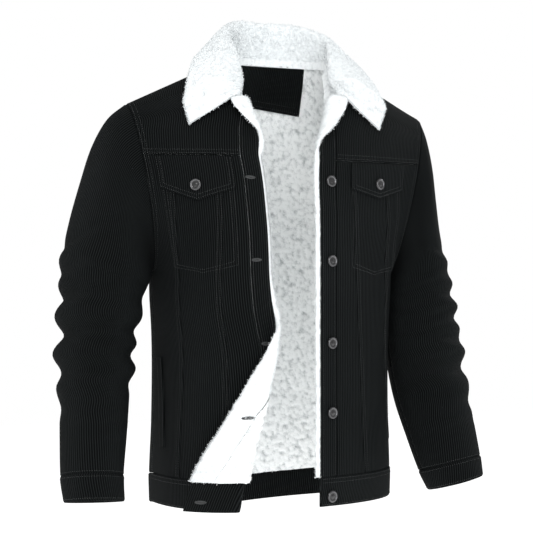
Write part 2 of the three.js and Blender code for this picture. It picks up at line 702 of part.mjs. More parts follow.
// out is +1 for the side that faces the neck and shows on the fall, and -1 for the side under it
function collarLayer(out) {
  const last = collarMiddle.length - 1;
  const at = (i, j) => collarMiddle[Math.min(last, Math.max(0, i))][
    Math.min(COLLAR_STEPS.length - 1, Math.max(0, j))];
  return collarMiddle.map((section, i) =>
    section.map((point, j) => {
      const acrossI = at(i + 1, j).clone().sub(at(i - 1, j));
      const acrossJ = at(i, j + 1).clone().sub(at(i, j - 1));
      // the first row stands square on the edge of the body
      const across = j > 0
        ? acrossI.cross(acrossJ).normalize()
        : normal(...collarBase[i]).cross(acrossI).normalize();
      return point.clone().addScaledVector(across, (out * COLLAR) / 2);
    }),
  );
}
add("collar", closedWall(collarLayer(1), collarLayer(-1)), sherpa);

export default jacket;
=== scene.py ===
"""A corduroy jacket with a sherpa lining, open at the front and filled out as if it were worn.

Lengths are worked out in millimetres and turned into metres when a mesh is made. The front faces -Y
and the wearer's left is +X. The origin lies between the two shoulder seams at the neck.
"""

import math

import bpy
import numpy as np
from bpy.props import FloatProperty, FloatVectorProperty, IntProperty, PointerProperty
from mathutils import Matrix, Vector


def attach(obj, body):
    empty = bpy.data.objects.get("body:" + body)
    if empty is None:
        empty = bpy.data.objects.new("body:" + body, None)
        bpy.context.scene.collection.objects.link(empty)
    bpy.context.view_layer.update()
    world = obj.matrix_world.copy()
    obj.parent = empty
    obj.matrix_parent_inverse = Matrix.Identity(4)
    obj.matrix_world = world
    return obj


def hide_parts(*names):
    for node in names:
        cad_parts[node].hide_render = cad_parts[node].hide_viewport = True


bl_info = {
    "name": "Sherpa Lined Jacket",
    "version": (1, 0, 0),
    "blender": (4, 5, 0),
    "location": "View3D > Sidebar > Jacket",
    "description": "Builds a corduroy jacket with a sherpa lining, collar and facings",
    "category": "Object",
}

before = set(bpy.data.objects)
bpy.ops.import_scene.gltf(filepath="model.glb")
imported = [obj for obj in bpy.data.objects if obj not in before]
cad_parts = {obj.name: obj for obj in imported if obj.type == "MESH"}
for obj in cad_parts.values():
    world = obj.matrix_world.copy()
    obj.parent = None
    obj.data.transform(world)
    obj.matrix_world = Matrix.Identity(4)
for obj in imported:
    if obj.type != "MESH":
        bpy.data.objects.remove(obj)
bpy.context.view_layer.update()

# Cloth walls and their places on the jacket, as in the solids
SHELL = 1.8
LINING_OUT = -3.1
LINING_IN = -8.6
SEAM = 0.3
BAND_WALL = 4
BAND_OUT = 0.8
PROUD = 2
CURL = 6
PLACKET = 29
INNER_SEAM = {"top": 58, "bottom": 90}
OUTER_SEAM = {"top": 128, "bottom": 173}
FLAPS = {
    "left": {"start": 58, "end": 172, "top": 0.756, "corner": 0.693, "tip": 0.672},
    "right": {"start": 42, "end": 156, "top": 0.756, "corner": 0.683, "tip": 0.655},
}
FLAP_BUTTON_UP = 0.034
WELT = {"lower": 208, "upper": 214, "width": 18, "start": 0.13, "end": 0.33}
FRONT_BUTTONS = [0.711, 0.527, 0.363, 0.212, 0.022]
BUTTON_INSET = 19
BAND_TOP = 0.065
UNDERARM = 0.5
YOKE = 0.76
NOTCH = 0.88
CUFF_TOP = 0.9
HEIGHT = 650  # of the body from hem to shoulder seam, about
TIP = np.array([236, 5, -77], float)
UNDER = np.array([190, 25, -318], float)
ARMHOLE_DEPTH = 46
ARMHOLE_GAP = 0.6
NECK_POINT = np.array([77, -14, 0], float)
NAPE = np.array([0, 70, 12], float)
NECK_SHARE = 0.4
ROW_GAP = 0.0004
PATCH = {"width": 154, "start": 0.868, "end": 0.985, "gap": 0.9}
COLLAR = 8
COLLAR_GAP = 0.6
COLLAR_LIFT = 10


def table(names, rows):
    """A table of named columns."""
    return {name: np.array(column, float) for name, column in zip(names.split(), zip(*rows))}


SIDE = table("at x y z", [
    (0.0, 187, 28, -656),
    (BAND_TOP, 188, 28, -613),
    (0.2, 185, 28, -531),
    (0.35, 185, 27, -427),
    (UNDERARM, *UNDER),
])

# Where each row of the body meets the armhole: 180 is the underarm and 0 the shoulder seam
ARMHOLE = table("at turn", [
    (UNDERARM, 180),
    (0.53, 157.5),
    (0.57, 135),
    (0.62, 112.5),
    (0.685, 90),
    (YOKE, 67.5),
    (0.82, 51),
    (NOTCH, 36),
    (1, 0),
])

# Front edges, hem to notch, then the neckline to the shoulder seam
LEFT_EDGE = table("at x y z heading fold", [
    (0.0, 19, -116, -656, 13, 0),
    (BAND_TOP, 19, -117, -614, 13, 0),
    (0.2, 19, -118, -530, 14, 0),
    (0.35, 19, -118, -432, 15, 0),
    (UNDERARM, 20, -116, -322, 16, 0),
    (0.62, 22, -111, -246, 14, 0),
    (YOKE, 25, -102, -158, 10, 0),
    (0.82, 42, -91, -113, 8, 16),
    (NOTCH, 57, -75, -70, 8, PLACKET),
    (0.94, 70, -46, -34, 8, 0),
    (1.0, *NECK_POINT, 7, 0),
])
RIGHT_EDGE = table("at x y z heading fold", [
    (0.0, 116, -124, -654, 24, 84),
    (BAND_TOP, 110, -128, -612, 20, 76),
    (0.13, 103, -131, -572, 16, 64),
    (0.2, 94, -134, -530, 8, 51),
    (0.28, 83, -136, -480, 2, 37),
    (0.35, 73, -136, -432, -4, 22),
    (0.42, 67, -134, -378, -9, 6),
    (UNDERARM, 65, -130, -322, -12, 0),
    (0.62, 65, -120, -246, -14, 0),
    (YOKE, 71, -105, -158, -12, 0),
    (0.82, 83, -94, -120, -4, 15),
    (NOTCH, 91, -76, -80, 4, PLACKET),
    (0.94, 85, -46, -38, 6, 0),
    (1.0, *NECK_POINT, 7, 0),
])

# How a row leaves the side: its angle towards the front and the handles of its curve
BOW = table("at angle outer inner", [
    (0.0, 90, 0.33, 0.42),
    (0.35, 90, 0.33, 0.42),
    (UNDERARM, 90, 0.33, 0.42),
    (0.53, 86, 0.27, 0.42),
    (0.57, 73, 0.22, 0.41),
    (0.62, 53, 0.215, 0.4),
    (0.685, 30, 0.235, 0.38),
    (YOKE, 25, 0.3, 0.36),
    (NOTCH, 26, 0.32, 0.34),
    (1.0, 7, 0.33, 0.33),
])
SPINE = table("at y z", [
    (0.0, 162, -680),
    (BAND_TOP, 164, -638),
    (0.2, 160, -548),
    (0.35, 156, -440),
    (UNDERARM, 152, -325),
    (0.62, 147, -240),
    (YOKE, 137, -148),
    (NOTCH, 112, -62),
    (1.0, NAPE[1], NAPE[2]),
])

RIGHT_SLEEVE = table("at outX outY outZ inX inY inZ depth lean", [
    (0.0, *TIP, *UNDER, ARMHOLE_DEPTH, 0),
    (0.08, 262, 8, -100, 190.5, 25, -320, 52, 0),
    (0.16, 283, 12, -140, 191, 25, -323, 57, 0),
    (0.24, 298, 16, -190, 192, 26, -327, 62, 0),
    (0.32, 313, 18, -246, 194, 26, -333, 66, 0),
    (0.4, 323, 20, -300, 200, 26, -346, 68, 0),
    (0.5, 325, 20, -362, 211, 24, -382, 65, 3),
    (0.6, 328, 15, -420, 222, 17, -432, 60, 8),
    (0.7, 330, 3, -482, 230, 5, -490, 56, 13),
    (0.8, 336, -22, -546, 241, -20, -551, 51, 15),
    (0.9, 340, -44, -604, 252, -42, -608, 47, 11),
    (1.0, 338, -58, -639, 255, -56, -642, 45, 9),
])
LEFT_SLEEVE = table("at outX outY outZ inX inY inZ depth lean", [
    (0.0, *TIP, *UNDER, ARMHOLE_DEPTH, 0),
    (0.08, 247, 8, -102, 190.5, 25, -320, 52, 0),
    (0.16, 256, 10, -143, 191, 25, -323, 57, 0),
    (0.24, 262, 13, -193, 191.5, 26, -327, 62, 0),
    (0.32, 269, 15, -248, 192, 26, -334, 66, 0),
    (0.4, 281, 16, -302, 192, 25, -349, 68, 0),
    (0.5, 296, 16, -368, 191, 22, -392, 65, 3),
    (0.6, 306, 12, -430, 193, 14, -450, 60, 8),
    (0.7, 309, -2, -490, 199, 0, -510, 56, 13),
    (0.8, 311, -26, -549, 208, -24, -568, 51, 15),
    (0.9, 311, -46, -600, 218, -44, -618, 47, 11),
    (1.0, 308, -58, -628, 228, -56, -647, 45, 9),
])

# Folds round the arms: the large ones of the solids, then finer creases of the cloth
RIGHT_FOLDS = table("z turn reach rise size width", [
    (-296, 20, 75, 30, 6, 13),
    (-330, 10, 80, 34, 5, 12),
    (-382, 0, 100, 20, 8, 15),
    (-440, -10, 110, 10, 10, 17),
    (-458, 150, 60, -8, 7, 13),
    (-424, 160, 50, -6, 5, 12),
    (-384, 165, 60, -6, 5, 15),
    (-482, 0, 90, 18, 6, 17),
    (-262, 60, 60, 46, 2.2, 8),
    (-312, 75, 55, -30, 1.8, 6),
    (-352, 70, 60, 36, 2.4, 7),
    (-405, 80, 60, 24, 2.6, 7),
    (-418, 60, 50, -22, 1.8, 6),
    (-468, 70, 70, 16, 2.2, 7),
    (-515, 40, 70, -14, 1.8, 9),
    (-545, 110, 60, 14, 1.5, 8),
    (-200, 110, 50, 60, 2.0, 12),
])
LEFT_FOLDS = table("z turn reach rise size width", [
    (-335, 15, 90, 10, 6, 13),
    (-372, 15, 95, 14, 7, 13),
    (-408, 15, 95, 16, 7, 13),
    (-440, 20, 100, 12, 8, 16),
    (-300, 60, 70, 16, 5, 12),
    (-490, 40, 80, -20, 5, 18),
    (-318, 80, 50, -26, 1.8, 6),
    (-353, 95, 60, 30, 2.2, 7),
    (-390, 85, 60, -24, 2.4, 6),
    (-424, 90, 60, 26, 2.4, 7),
    (-458, 80, 60, -16, 2.0, 7),
    (-520, 70, 70, 18, 1.8, 9),
    (-548, 120, 50, -12, 1.4, 7),
    (-215, 120, 50, -50, 2.0, 12),
    (-262, 130, 50, -40, 2.0, 10),
])

# Soft creases of the body cloth in front view: middle, way they run (0 is level, 90 upright),
# half length, half width and depth
LEFT_CREASES = table("x z way reach width depth", [
    (168, -300, 62, 42, 9, 2.6),
    (150, -352, 70, 60, 12, 1.8),
    (60, -560, 84, 46, 10, 1.8),
    (95, -572, 96, 38, 9, -1.6),
    (128, -565, 80, 48, 11, 1.8),
    (164, -570, 97, 40, 9, -1.4),
    (74, -420, 100, 70, 16, 1.2),
    (196, -212, 74, 46, 8, 2.0),
    (150, -120, 24, 46, 10, 1.2),
    (46, -250, 96, 50, 12, 1.0),
])
RIGHT_CREASES = table("x z way reach width depth", [
    (-170, -296, 118, 42, 9, 2.6),
    (-150, -350, 108, 62, 12, 1.8),
    (-140, -566, 98, 46, 10, 1.8),
    (-168, -572, 84, 38, 9, -1.4),
    (-122, -480, 80, 64, 12, 1.6),
    (-96, -410, 112, 64, 14, 1.4),
    (-196, -212, 106, 46, 8, 2.0),
    (-150, -120, 156, 46, 10, 1.2),
    (-84, -262, 84, 50, 12, 1.0),
])
BACK_CREASES = table("x z way reach width depth", [
    (-150, -300, 60, 62, 12, 2.8),
    (156, -288, 122, 56, 11, 2.6),
    (-118, -372, 74, 74, 15, 2.0),
    (112, -384, 104, 70, 14, 2.2),
    (-60, -580, 94, 44, 11, 2.0),
    (-16, -586, 86, 40, 10, -1.6),
    (34, -578, 92, 50, 12, 1.8),
    (84, -584, 84, 42, 10, -1.6),
    (128, -576, 98, 46, 11, 1.8),
    (-124, -578, 88, 42, 10, -1.6),
    (-30, -470, 12, 84, 15, 1.6),
    (66, -500, 170, 64, 12, 1.4),
    (-92, -170, 34, 60, 13, 1.4),
    (100, -160, 148, 56, 12, 1.4),
])
CREASED_FROM = (50, 100)  # creases begin and are whole this far below the neck
CREASED_TO = (660, 606)  # creases end and are still whole this far below it

LEFT_COLLAR = table("at topX topY topZ midX midY midZ edgeX edgeY edgeZ", [
    (0, 0, 62, 63, 0, 88, 36, 0, 102, -4),
    (0.25, 50, 46, 60, 70, 64, 32, 84, 82, -8),
    (0.5, 84, 4, 36, 106, 8, 16, 130, 8, -10),
    (0.7, 76, -27, 4, 112, -28, -8, 150, -20, -36),
    (0.85, 66, -52, -32, 104, -64, -38, 152, -57, -70),
])
RIGHT_COLLAR = table("at topX topY topZ midX midY midZ edgeX edgeY edgeZ", [
    (0, 0, 62, 63, 0, 88, 36, 0, 102, -4),
    (0.25, 50, 46, 60, 70, 64, 32, 84, 82, -8),
    (0.5, 84, 4, 36, 106, 8, 16, 130, 8, -10),
    (0.7, 84, -32, 2, 116, -34, -10, 150, -24, -36),
    (0.85, 84, -58, -36, 120, -66, -42, 166, -50, -76),
])
LEFT_TIP = {"cloth": 104, "at": 0.834}
RIGHT_TIP = {"cloth": 98, "at": 0.832}


def mix(a, b, share):
    return a + (b - a) * share


def smooth(value, low, high):
    t = np.clip((np.asarray(value, float) - low) / (high - low), 0, 1)
    return t * t * (3 - 2 * t)


def vectors(x, y, z):
    """Arrays or numbers joined into one array of points."""
    return np.stack(np.broadcast_arrays(x, y, z), axis=-1).astype(float)


def unit(v):
    return v / np.maximum(np.linalg.norm(v, axis=-1, keepdims=True), 1e-9)


def read(rows, at):
    """Every column of a table at places between its rows, on a smooth curve through them."""
    at = np.asarray(at, float)
    knots = rows["at"]
    a = np.clip(np.searchsorted(knots, at) - 1, 0, len(knots) - 2)
    b = a + 1
    before, after = np.maximum(a - 1, 0), np.minimum(a + 2, len(knots) - 1)
    span = knots[b] - knots[a]
    t = (at - knots[a]) / span
    out = {}
    for name, column in rows.items():
        start = (column[b] - column[before]) / (knots[b] - knots[before])
        end = (column[after] - column[a]) / (knots[after] - knots[a])
        out[name] = (column[a] * (1 + 2 * t) * (1 - t) ** 2 + column[b] * t * t * (3 - 2 * t)
                     + span * t * (1 - t) * (start * (1 - t) - end * t))
    return out


def armhole(side, turn):
    turn = np.radians(turn)
    up = (np.cos(turn) + 1) / 2
    return vectors(side * mix(UNDER[0], TIP[0], up),
                   mix(UNDER[1], TIP[1], up) - ARMHOLE_DEPTH * np.sin(turn),
                   mix(UNDER[2], TIP[2], up))


def outer_end(side, at, facing):
    """The outer end of a row, on the side seam or the armhole. facing is 1 in front, -1 behind."""
    seam = read(SIDE, np.minimum(at, UNDERARM))
    on_seam = vectors(side * seam["x"], seam["y"], seam["z"])
    on_armhole = armhole(side, facing * read(ARMHOLE, np.maximum(at, UNDERARM))["turn"])
    return np.where((at > UNDERARM)[..., None], on_armhole, on_seam)


def row_curves(side, at, facing, inner, heading):
    """The four points of each row's curve, from its inner end outwards."""
    outer = outer_end(side, at, facing)
    bow = read(BOW, at)
    gap = np.hypot(outer[..., 0] - inner[..., 0], outer[..., 1] - inner[..., 1])[..., None]
    leaving, arriving = np.radians(bow["angle"]), np.radians(heading)
    leave = vectors(-side * np.cos(leaving), -facing * np.sin(leaving), 0)
    arrive = vectors(-side * np.cos(arriving), -facing * np.sin(arriving), 0)
    first = outer + leave * gap * bow["outer"][..., None]
    second = inner - arrive * gap * bow["inner"][..., None]
    first[..., 2] = mix(outer[..., 2], inner[..., 2], 1 / 3)
    second[..., 2] = mix(outer[..., 2], inner[..., 2], 2 / 3)
    return np.stack([inner, second, first, outer], axis=-2)


def curve_point(curves, t):
    t = np.asarray(t, float)[..., None]
    a, b, c, d = (curves[..., k, :] for k in range(4))
    return a * (1 - t) ** 3 + 3 * b * t * (1 - t) ** 2 + 3 * c * t * t * (1 - t) + d * t ** 3


ROW_STEPS = 56


def walk(curves, length):
    """The point at a length along each curve, carried straight on past either end."""
    out = np.empty((len(length), 3))
    t = np.linspace(0, 1, ROW_STEPS + 1)
    for start in range(0, len(length), 20000):
        part = slice(start, start + 20000)
        points = curve_point(curves[part, None], t[None, :])
        steps = np.linalg.norm(np.diff(points, axis=1), axis=2)
        lengths = np.concatenate([np.zeros((len(steps), 1)), np.cumsum(steps, axis=1)], axis=1)
        wanted = length[part]
        i = np.clip((lengths < wanted[:, None]).sum(axis=1) - 1, 0, ROW_STEPS - 1)
        n = np.arange(len(wanted))
        share = ((wanted - lengths[n, i]) / steps[n, i])[:, None]
        out[part] = mix(points[n, i], points[n, i + 1], share)
    return out


def row_width(curves):
    points = curve_point(curves[:, None], np.linspace(0, 1, ROW_STEPS + 1)[None, :])
    return np.linalg.norm(np.diff(points, axis=1), axis=2).sum(axis=1)


SHOULDER_UP = unit(np.array([0, 0.12, 1.0]))


class Surface:
    """A cloth surface: its points from two arrays of places, and the way out of it."""

    def __init__(self, point, outward, steps=(0.5, 0.002), on_body=True):
        self.point = point
        self.outward = outward
        self.steps = steps
        self.on_body = on_body

    def normal(self, a, b):
        step_a, step_b = self.steps
        across = self.point(a + step_a, b) - self.point(a - step_a, b)
        along = self.point(a, b + step_b) - self.point(a, b - step_b)
        out = unit(np.cross(across, along)) * self.outward
        if not self.on_body:
            return out
        return unit(mix(out, SHOULDER_UP, smooth(b, 0.96, 1)[..., None]))

    def place(self, a, b, out=0):
        """Points moved out from the surface, in the shape of the arrays of places."""
        a, b, out = (np.asarray(v, float) for v in np.broadcast_arrays(a, b, out))
        shape = a.shape
        a, b, out = a.ravel(), b.ravel(), out.ravel()
        points = self.point(a, b) + self.normal(a, b) * out[:, None]
        return points.reshape(*shape, 3)


def crease_depth(creases, x, z):
    depth = np.zeros_like(x)
    for i in range(len(creases["x"])):
        c = {name: column[i] for name, column in creases.items()}
        way = math.radians(c["way"])
        dx, dz = x - c["x"], z - c["z"]
        run = (dx * math.cos(way) + dz * math.sin(way)) / c["reach"]
        # each crease bends a little along its way
        off = (dz * math.cos(way) - dx * math.sin(way) + 5 * run ** 2) / c["width"]
        depth += c["depth"] * np.exp(-off ** 2) * np.exp(-(np.abs(run) ** 2.6))
    return depth


def creased(points, creases):
    """Points pushed out from the middle of the body by the creases, which die out at the
    shoulders, at the waistband and beside the armholes and side seams."""
    x, y, z = points[..., 0], points[..., 1], points[..., 2]
    out = unit(vectors(x * 0.4, y - 20, np.zeros_like(x)))
    armhole_x = mix(UNDER[0], TIP[0], (z - UNDER[2]) / (TIP[2] - UNDER[2]))
    beside = np.where(z > UNDER[2], smooth(armhole_x - np.abs(x), 4, 28),
                      smooth(np.abs(y - 28), 4, 30))
    fade = smooth(-z, *CREASED_FROM) * smooth(-z, *CREASED_TO) * beside
    return points + out * (crease_depth(creases, x, z) * fade)[..., None]


def front_surface(side, edge, creases):
    """A front: places are the length along it from its free edge and the height. The part within
    the fold's width rolls round a curl and lies back over the rest."""

    def curves(at):
        row = read(edge, at)
        inner = vectors(side * row["x"], row["y"], row["z"])
        return row_curves(side, at, 1, inner, row["heading"])

    def fold(at):
        return np.maximum(0, read(edge, at)["fold"])

    flat = Surface(lambda length, at: walk(curves(at), length), side)

    def point(cloth, at):
        past = fold(at) - cloth
        points = np.empty((len(cloth), 3))
        lies = past <= 0
        if lies.any():
            points[lies] = flat.point(-past[lies], at[lies])
        rolls = ~lies
        if rolls.any():
            over, height = past[rolls], at[rolls]
            turned = np.minimum(over / CURL, math.pi)
            back = np.maximum(0, over - math.pi * CURL)
            lift = CURL * (1 - np.cos(turned)) + back * 0.05
            points[rolls] = flat.place(back - CURL * np.sin(turned), height, lift)
        return creased(points, creases)

    surface = Surface(point, side)
    surface.fold = fold
    surface.width = lambda at: row_width(curves(np.atleast_1d(at))) + fold(np.atleast_1d(at))
    surface.side = side
    return surface


def shoulder_and_neck(t):
    """The top of the back: along a shoulder seam to the neck, and round the neck to the nape."""
    t = t[:, None]
    turn = np.minimum(t / NECK_SHARE, 1) * math.pi / 2
    neck = np.concatenate([NECK_POINT[0] * np.sin(turn),
                           mix(NECK_POINT[1], NAPE[1], np.cos(turn)),
                           mix(NECK_POINT[2], NAPE[2], np.cos(turn))], axis=1)
    seam = mix(NECK_POINT, TIP, np.maximum(0, (t - NECK_SHARE) / (1 - NECK_SHARE)))
    return np.where(t > NECK_SHARE, seam, neck)


def back_point(t, at):
    spine = read(SPINE, at)
    inner = vectors(0, spine["y"], spine["z"])
    points = curve_point(row_curves(1, at, -1, inner, np.zeros_like(at)), np.abs(t))
    top = smooth(at, YOKE, 1)[:, None] ** 2
    points = mix(points, shoulder_and_neck(np.abs(t)), top)
    points[:, 0] *= np.where(t < 0, -1, 1)
    return creased(points, BACK_CREASES)


def fold_height(folds, turn, z):
    height = np.zeros_like(turn)
    for i in range(len(folds["z"])):
        fold = {name: column[i] for name, column in folds.items()}
        off = ((turn - fold["turn"] + 180) % 360) - 180
        fade = np.cos(np.clip(off / fold["reach"], -1, 1) * math.pi / 2)
        fade = np.maximum(fade, 0) ** 1.3
        away = np.abs(z - fold["z"] - fold["rise"] * off / 90) / fold["width"]
        ridge = np.exp(-away ** 2) - 0.45 * np.exp(-2 * (away - 1.7) ** 2)
        height += fold["size"] * fade * ridge
    return height


def sleeve_surface(side, rings, folds):
    """A sleeve: places are the turn round it from its outer side to the front, and the way down."""

    def point(turn, at):
        ring = read(rings, at)
        out = vectors(ring["outX"], ring["outY"], ring["outZ"])
        inn = vectors(ring["inX"], ring["inY"], ring["inZ"])
        centre, reach = (out + inn) / 2, (out - inn) / 2
        lean = np.radians(ring["lean"])
        forward = vectors(0, -np.cos(lean), np.sin(lean))
        c, s = (f(np.radians(turn))[:, None] for f in (np.cos, np.sin))
        points = centre + reach * c + forward * ring["depth"][:, None] * s
        fading = smooth(at, 0.1, 0.25) * (1 - smooth(at, 0.82, 0.9))
        height = fold_height(folds, turn, points[:, 2]) * fading
        points += (unit(reach) * c + forward * s) * height[:, None]
        points[:, 0] = side * (points[:, 0] + ARMHOLE_GAP)
        return points

    surface = Surface(point, side, steps=(1, 0.002), on_body=False)
    surface.side = side
    return surface


FRONTS = {"left": front_surface(1, LEFT_EDGE, LEFT_CREASES),
          "right": front_surface(-1, RIGHT_EDGE, RIGHT_CREASES)}
BACK = Surface(back_point, -1, steps=(0.004, 0.002))
SLEEVES = {"left": sleeve_surface(1, LEFT_SLEEVE, LEFT_FOLDS),
           "right": sleeve_surface(-1, RIGHT_SLEEVE, RIGHT_FOLDS)}


# Panels of a front, as places along its rows

def seam_at(seam, at):
    return mix(seam["bottom"], seam["top"], (at - BAND_TOP) / (YOKE - BAND_TOP))


def outermost(front, at):
    return front.width(at) - SEAM / 2


PANELS = {
    "placket": lambda front, at: (np.full_like(at, SEAM / 2), np.full_like(at, PLACKET - 2 * SEAM)),
    "front_inner": lambda front, at: (np.full_like(at, PLACKET), seam_at(INNER_SEAM, at) - SEAM),
    "front_middle": lambda front, at: (seam_at(INNER_SEAM, at), seam_at(OUTER_SEAM, at) - SEAM),
    "front_side": lambda front, at: (seam_at(OUTER_SEAM, at), outermost(front, at)),
    "front_yoke": lambda front, at: (np.where(at > NOTCH, front.fold(at), PLACKET),
                                     outermost(front, at)),
}


def spaced(low, high, step, near=()):
    """Places from low to high about a step apart, with closer ones near both ends."""
    count = max(2, round((high - low) / step))
    middle = np.linspace(low, high, count + 1)[1:-1]
    ends = [low, high, *(low + n for n in near), *(high - n for n in near)]
    middle = middle[(middle > low + max(near, default=0)) & (middle < high - max(near, default=0))]
    return np.sort(np.concatenate([middle, ends]))


def make_object(name, points, faces, material, uvs=None, values=None):
    """A mesh object from points in millimetres, with shared smooth shading."""
    mesh = bpy.data.meshes.new(name)
    mesh.from_pydata((points * 0.001).tolist(), [], faces if isinstance(faces, list) else faces.tolist())
    for each in material if isinstance(material, (list, tuple)) else [material]:
        mesh.materials.append(each)
    if uvs is not None:
        layer = mesh.uv_layers.new(name="cloth")
        layer.data.foreach_set("uv", uvs.astype(np.float32).ravel())
    for key, column in (values or {}).items():
        attribute = mesh.attributes.new(key, "FLOAT", "POINT")
        attribute.data.foreach_set("value", column.astype(np.float32).ravel())
    mesh.shade_smooth()
    mesh.update()
    obj = bpy.data.objects.new(name, mesh)
    bpy.context.scene.collection.objects.link(obj)
    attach(obj, "root")
    return obj


def quads(rows, columns, first=0, closed=False, flip=False):
    r, c = np.meshgrid(np.arange(rows - 1), np.arange(columns if closed else columns - 1),
                       indexing="ij")
    at = lambda i, j: first + i * columns + j % columns
    corners = [at(r, c), at(r, c + 1), at(r + 1, c + 1), at(r + 1, c)]
    return np.stack(corners[::-1] if flip else corners, axis=-1).reshape(-1, 4)


def strip(path_a, path_b):
    return np.stack([path_a[:-1], path_b[:-1], path_b[1:], path_a[1:]], axis=-1)


def wall(name, outer, inner, uv, material, closed=False, flip=False):
    """Two like grids of points joined along their edges. uv holds a place on the cloth for each
    point, and one more column where the grid closes on itself."""
    rows, columns = outer.shape[:2]
    count = rows * columns
    index = np.arange(count).reshape(rows, columns)
    if closed:
        index = np.concatenate([index, index[:, :1]], axis=1)
    faces = [quads(rows, columns, 0, closed), quads(rows, columns, count, closed, True)]
    edges = [strip(index[0] + count, index[0]), strip(index[-1], index[-1] + count)]
    if not closed:
        edges += [strip(index[:, 0], index[:, 0] + count), strip(index[:, -1] + count, index[:, -1])]
    faces = np.concatenate(faces + edges)
    if flip:
        faces = faces[:, ::-1]
    # a face that closes the ring takes its last column's place, not its first
    flat_uv = uv[:, :columns].reshape(-1, 2)
    uvs = flat_uv[faces % count]
    if closed:
        column = faces % columns
        wraps = (column.max(axis=1) - column.min(axis=1) > 1)[:, None] & (column == 0)
        uvs[wraps] = uv[:, columns][(faces % count)[wraps] // columns]
    return make_object(name, np.concatenate([outer.reshape(-1, 3), inner.reshape(-1, 3)]),
                       faces, material, uvs)


def sheet(name, points, material, values=None, flip=False):
    rows, columns = points.shape[:2]
    return make_object(name, points.reshape(-1, 3), quads(rows, columns, 0, False, flip), material,
                       None, values)


def declare(nodes, area=None):
    """Hide the solids that the piece's sheet of cloth stands for. area, its cut size, is not used."""
    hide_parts(*nodes)


def cloth_area(outer):
    """The area of one grid of points, in square metres."""
    a = outer[1:, :-1] - outer[:-1, :-1]
    b = outer[:-1, 1:] - outer[:-1, :-1]
    return float(np.linalg.norm(np.cross(a, b), axis=2).sum()) * 1e-6


# Pile: rounded pebbles of unlike size with small curls on them

def scrambled(cells, seed):
    """A number from 0 to 1 for each whole-number place, the same each time."""
    mixed = (cells[..., 0] * 374761393 + cells[..., 1] * 668265263 + cells[..., 2] * 2147483647
             + seed * 1274126177) & 0xFFFFFFFF
    mixed = ((mixed ^ (mixed >> 13)) * 1274126177) & 0xFFFFFFFF
    return ((mixed ^ (mixed >> 16)) & 0xFFFF) / 65535.0


def pebbles(points, size, seed):
    """How high round pebbles stand at each point, from 0 between them to 1 at their tops."""
    place = points / size
    base = np.floor(place).astype(np.int64)
    nearest = np.full(points.shape[:-1], 9.0)
    for dx in (-1, 0, 1):
        for dy in (-1, 0, 1):
            for dz in (-1, 0, 1):
                cell = base + np.array([dx, dy, dz])
                centre = cell + np.stack([scrambled(cell, seed + k) for k in range(3)], axis=-1)
                nearest = np.minimum(nearest, ((place - centre) ** 2).sum(axis=-1))
    return np.clip(1 - nearest, 0, 1)


# the height is stored as the pile attribute, which paints shade into the sherpa's low places
def pile_height(points):
    large = pebbles(points, 6.4, 3)
    small = pebbles(points, 3.0, 17)
    return 0.68 * large + 0.32 * small


def grid_normals(points):
    across = np.gradient(points, axis=1)
    along = np.gradient(points, axis=0)
    return unit(np.cross(across, along))


def with_pile(points, outward, depth):
    """A grid of points raised into pile, with the pile's height at each."""
    normals = grid_normals(points) * outward
    height = pile_height(points)
    return points + normals * ((height - 0.45) * depth)[..., None], normals, height


def tufts(name, points, normals, count, length, seed, material):
    """Short curled locks that stand on the pile, three faces each, joined into one mesh."""
    rng = np.random.default_rng(seed)
    points, normals = points.reshape(-1, 3), normals.reshape(-1, 3)
    chosen = rng.integers(0, len(points), count)
    root, up = points[chosen], normals[chosen]
    side = unit(np.cross(up, rng.normal(size=(count, 3))))
    other = np.cross(up, side)
    size = (length * rng.uniform(0.6, 1.3, count))[:, None]
    root = root - up * 0.6 + side * rng.uniform(-1, 1, (count, 1))
    bend = rng.uniform(0.3, 1.0, (count, 1))
    middle = root + up * size * 0.62 + side * size * 0.34 * bend
    tip = root + up * size * 0.72 + side * size * bend * 0.9
    half = other * 0.34
    ring = np.stack([root - half, root + half, middle - half * 0.9, middle + half * 0.9,
                     tip], axis=1)
    first = np.arange(count)[:, None] * 5
    faces = [list(f) for f in np.concatenate([first + [0, 1, 3], first + [0, 3, 2]])]
    faces += [list(f) for f in first + [2, 3, 4]]
    # low values at each lock's root give it painted shade there, and the highest value at its tip
    values = {"pile": np.tile([0.5, 0.5, 0.85, 0.85, 1.0], count)}
    obj = make_object(name, ring.reshape(-1, 3), faces, material, None, values)
    return obj


# Materials

class Value:
    """A number that varies over a surface, with the arithmetic that the materials use."""

    def __init__(self, shader, socket):
        self.shader = shader
        self.socket = socket

    def _math(self, operation, a, b=None):
        values = {0: a} if b is None else {0: a, 1: b}
        node = self.shader.node("ShaderNodeMath", {"operation": operation}, values)
        return Value(self.shader, node.outputs[0])

    def __add__(self, other):
        return self._math("ADD", self, other)

    def __radd__(self, other):
        return self._math("ADD", other, self)

    def __sub__(self, other):
        return self._math("SUBTRACT", self, other)

    def __rsub__(self, other):
        return self._math("SUBTRACT", other, self)

    def __mul__(self, other):
        return self._math("MULTIPLY", self, other)

    def __rmul__(self, other):
        return self._math("MULTIPLY", other, self)

    def __truediv__(self, other):
        return self._math("DIVIDE", self, other)

    def __pow__(self, other):
        return self._math("POWER", self, other)

    def cosine(self):
        return self._math("COSINE", self)

    def clamped(self):
        node = self.shader.node("ShaderNodeClamp", {}, {0: self})
        return Value(self.shader, node.outputs[0])


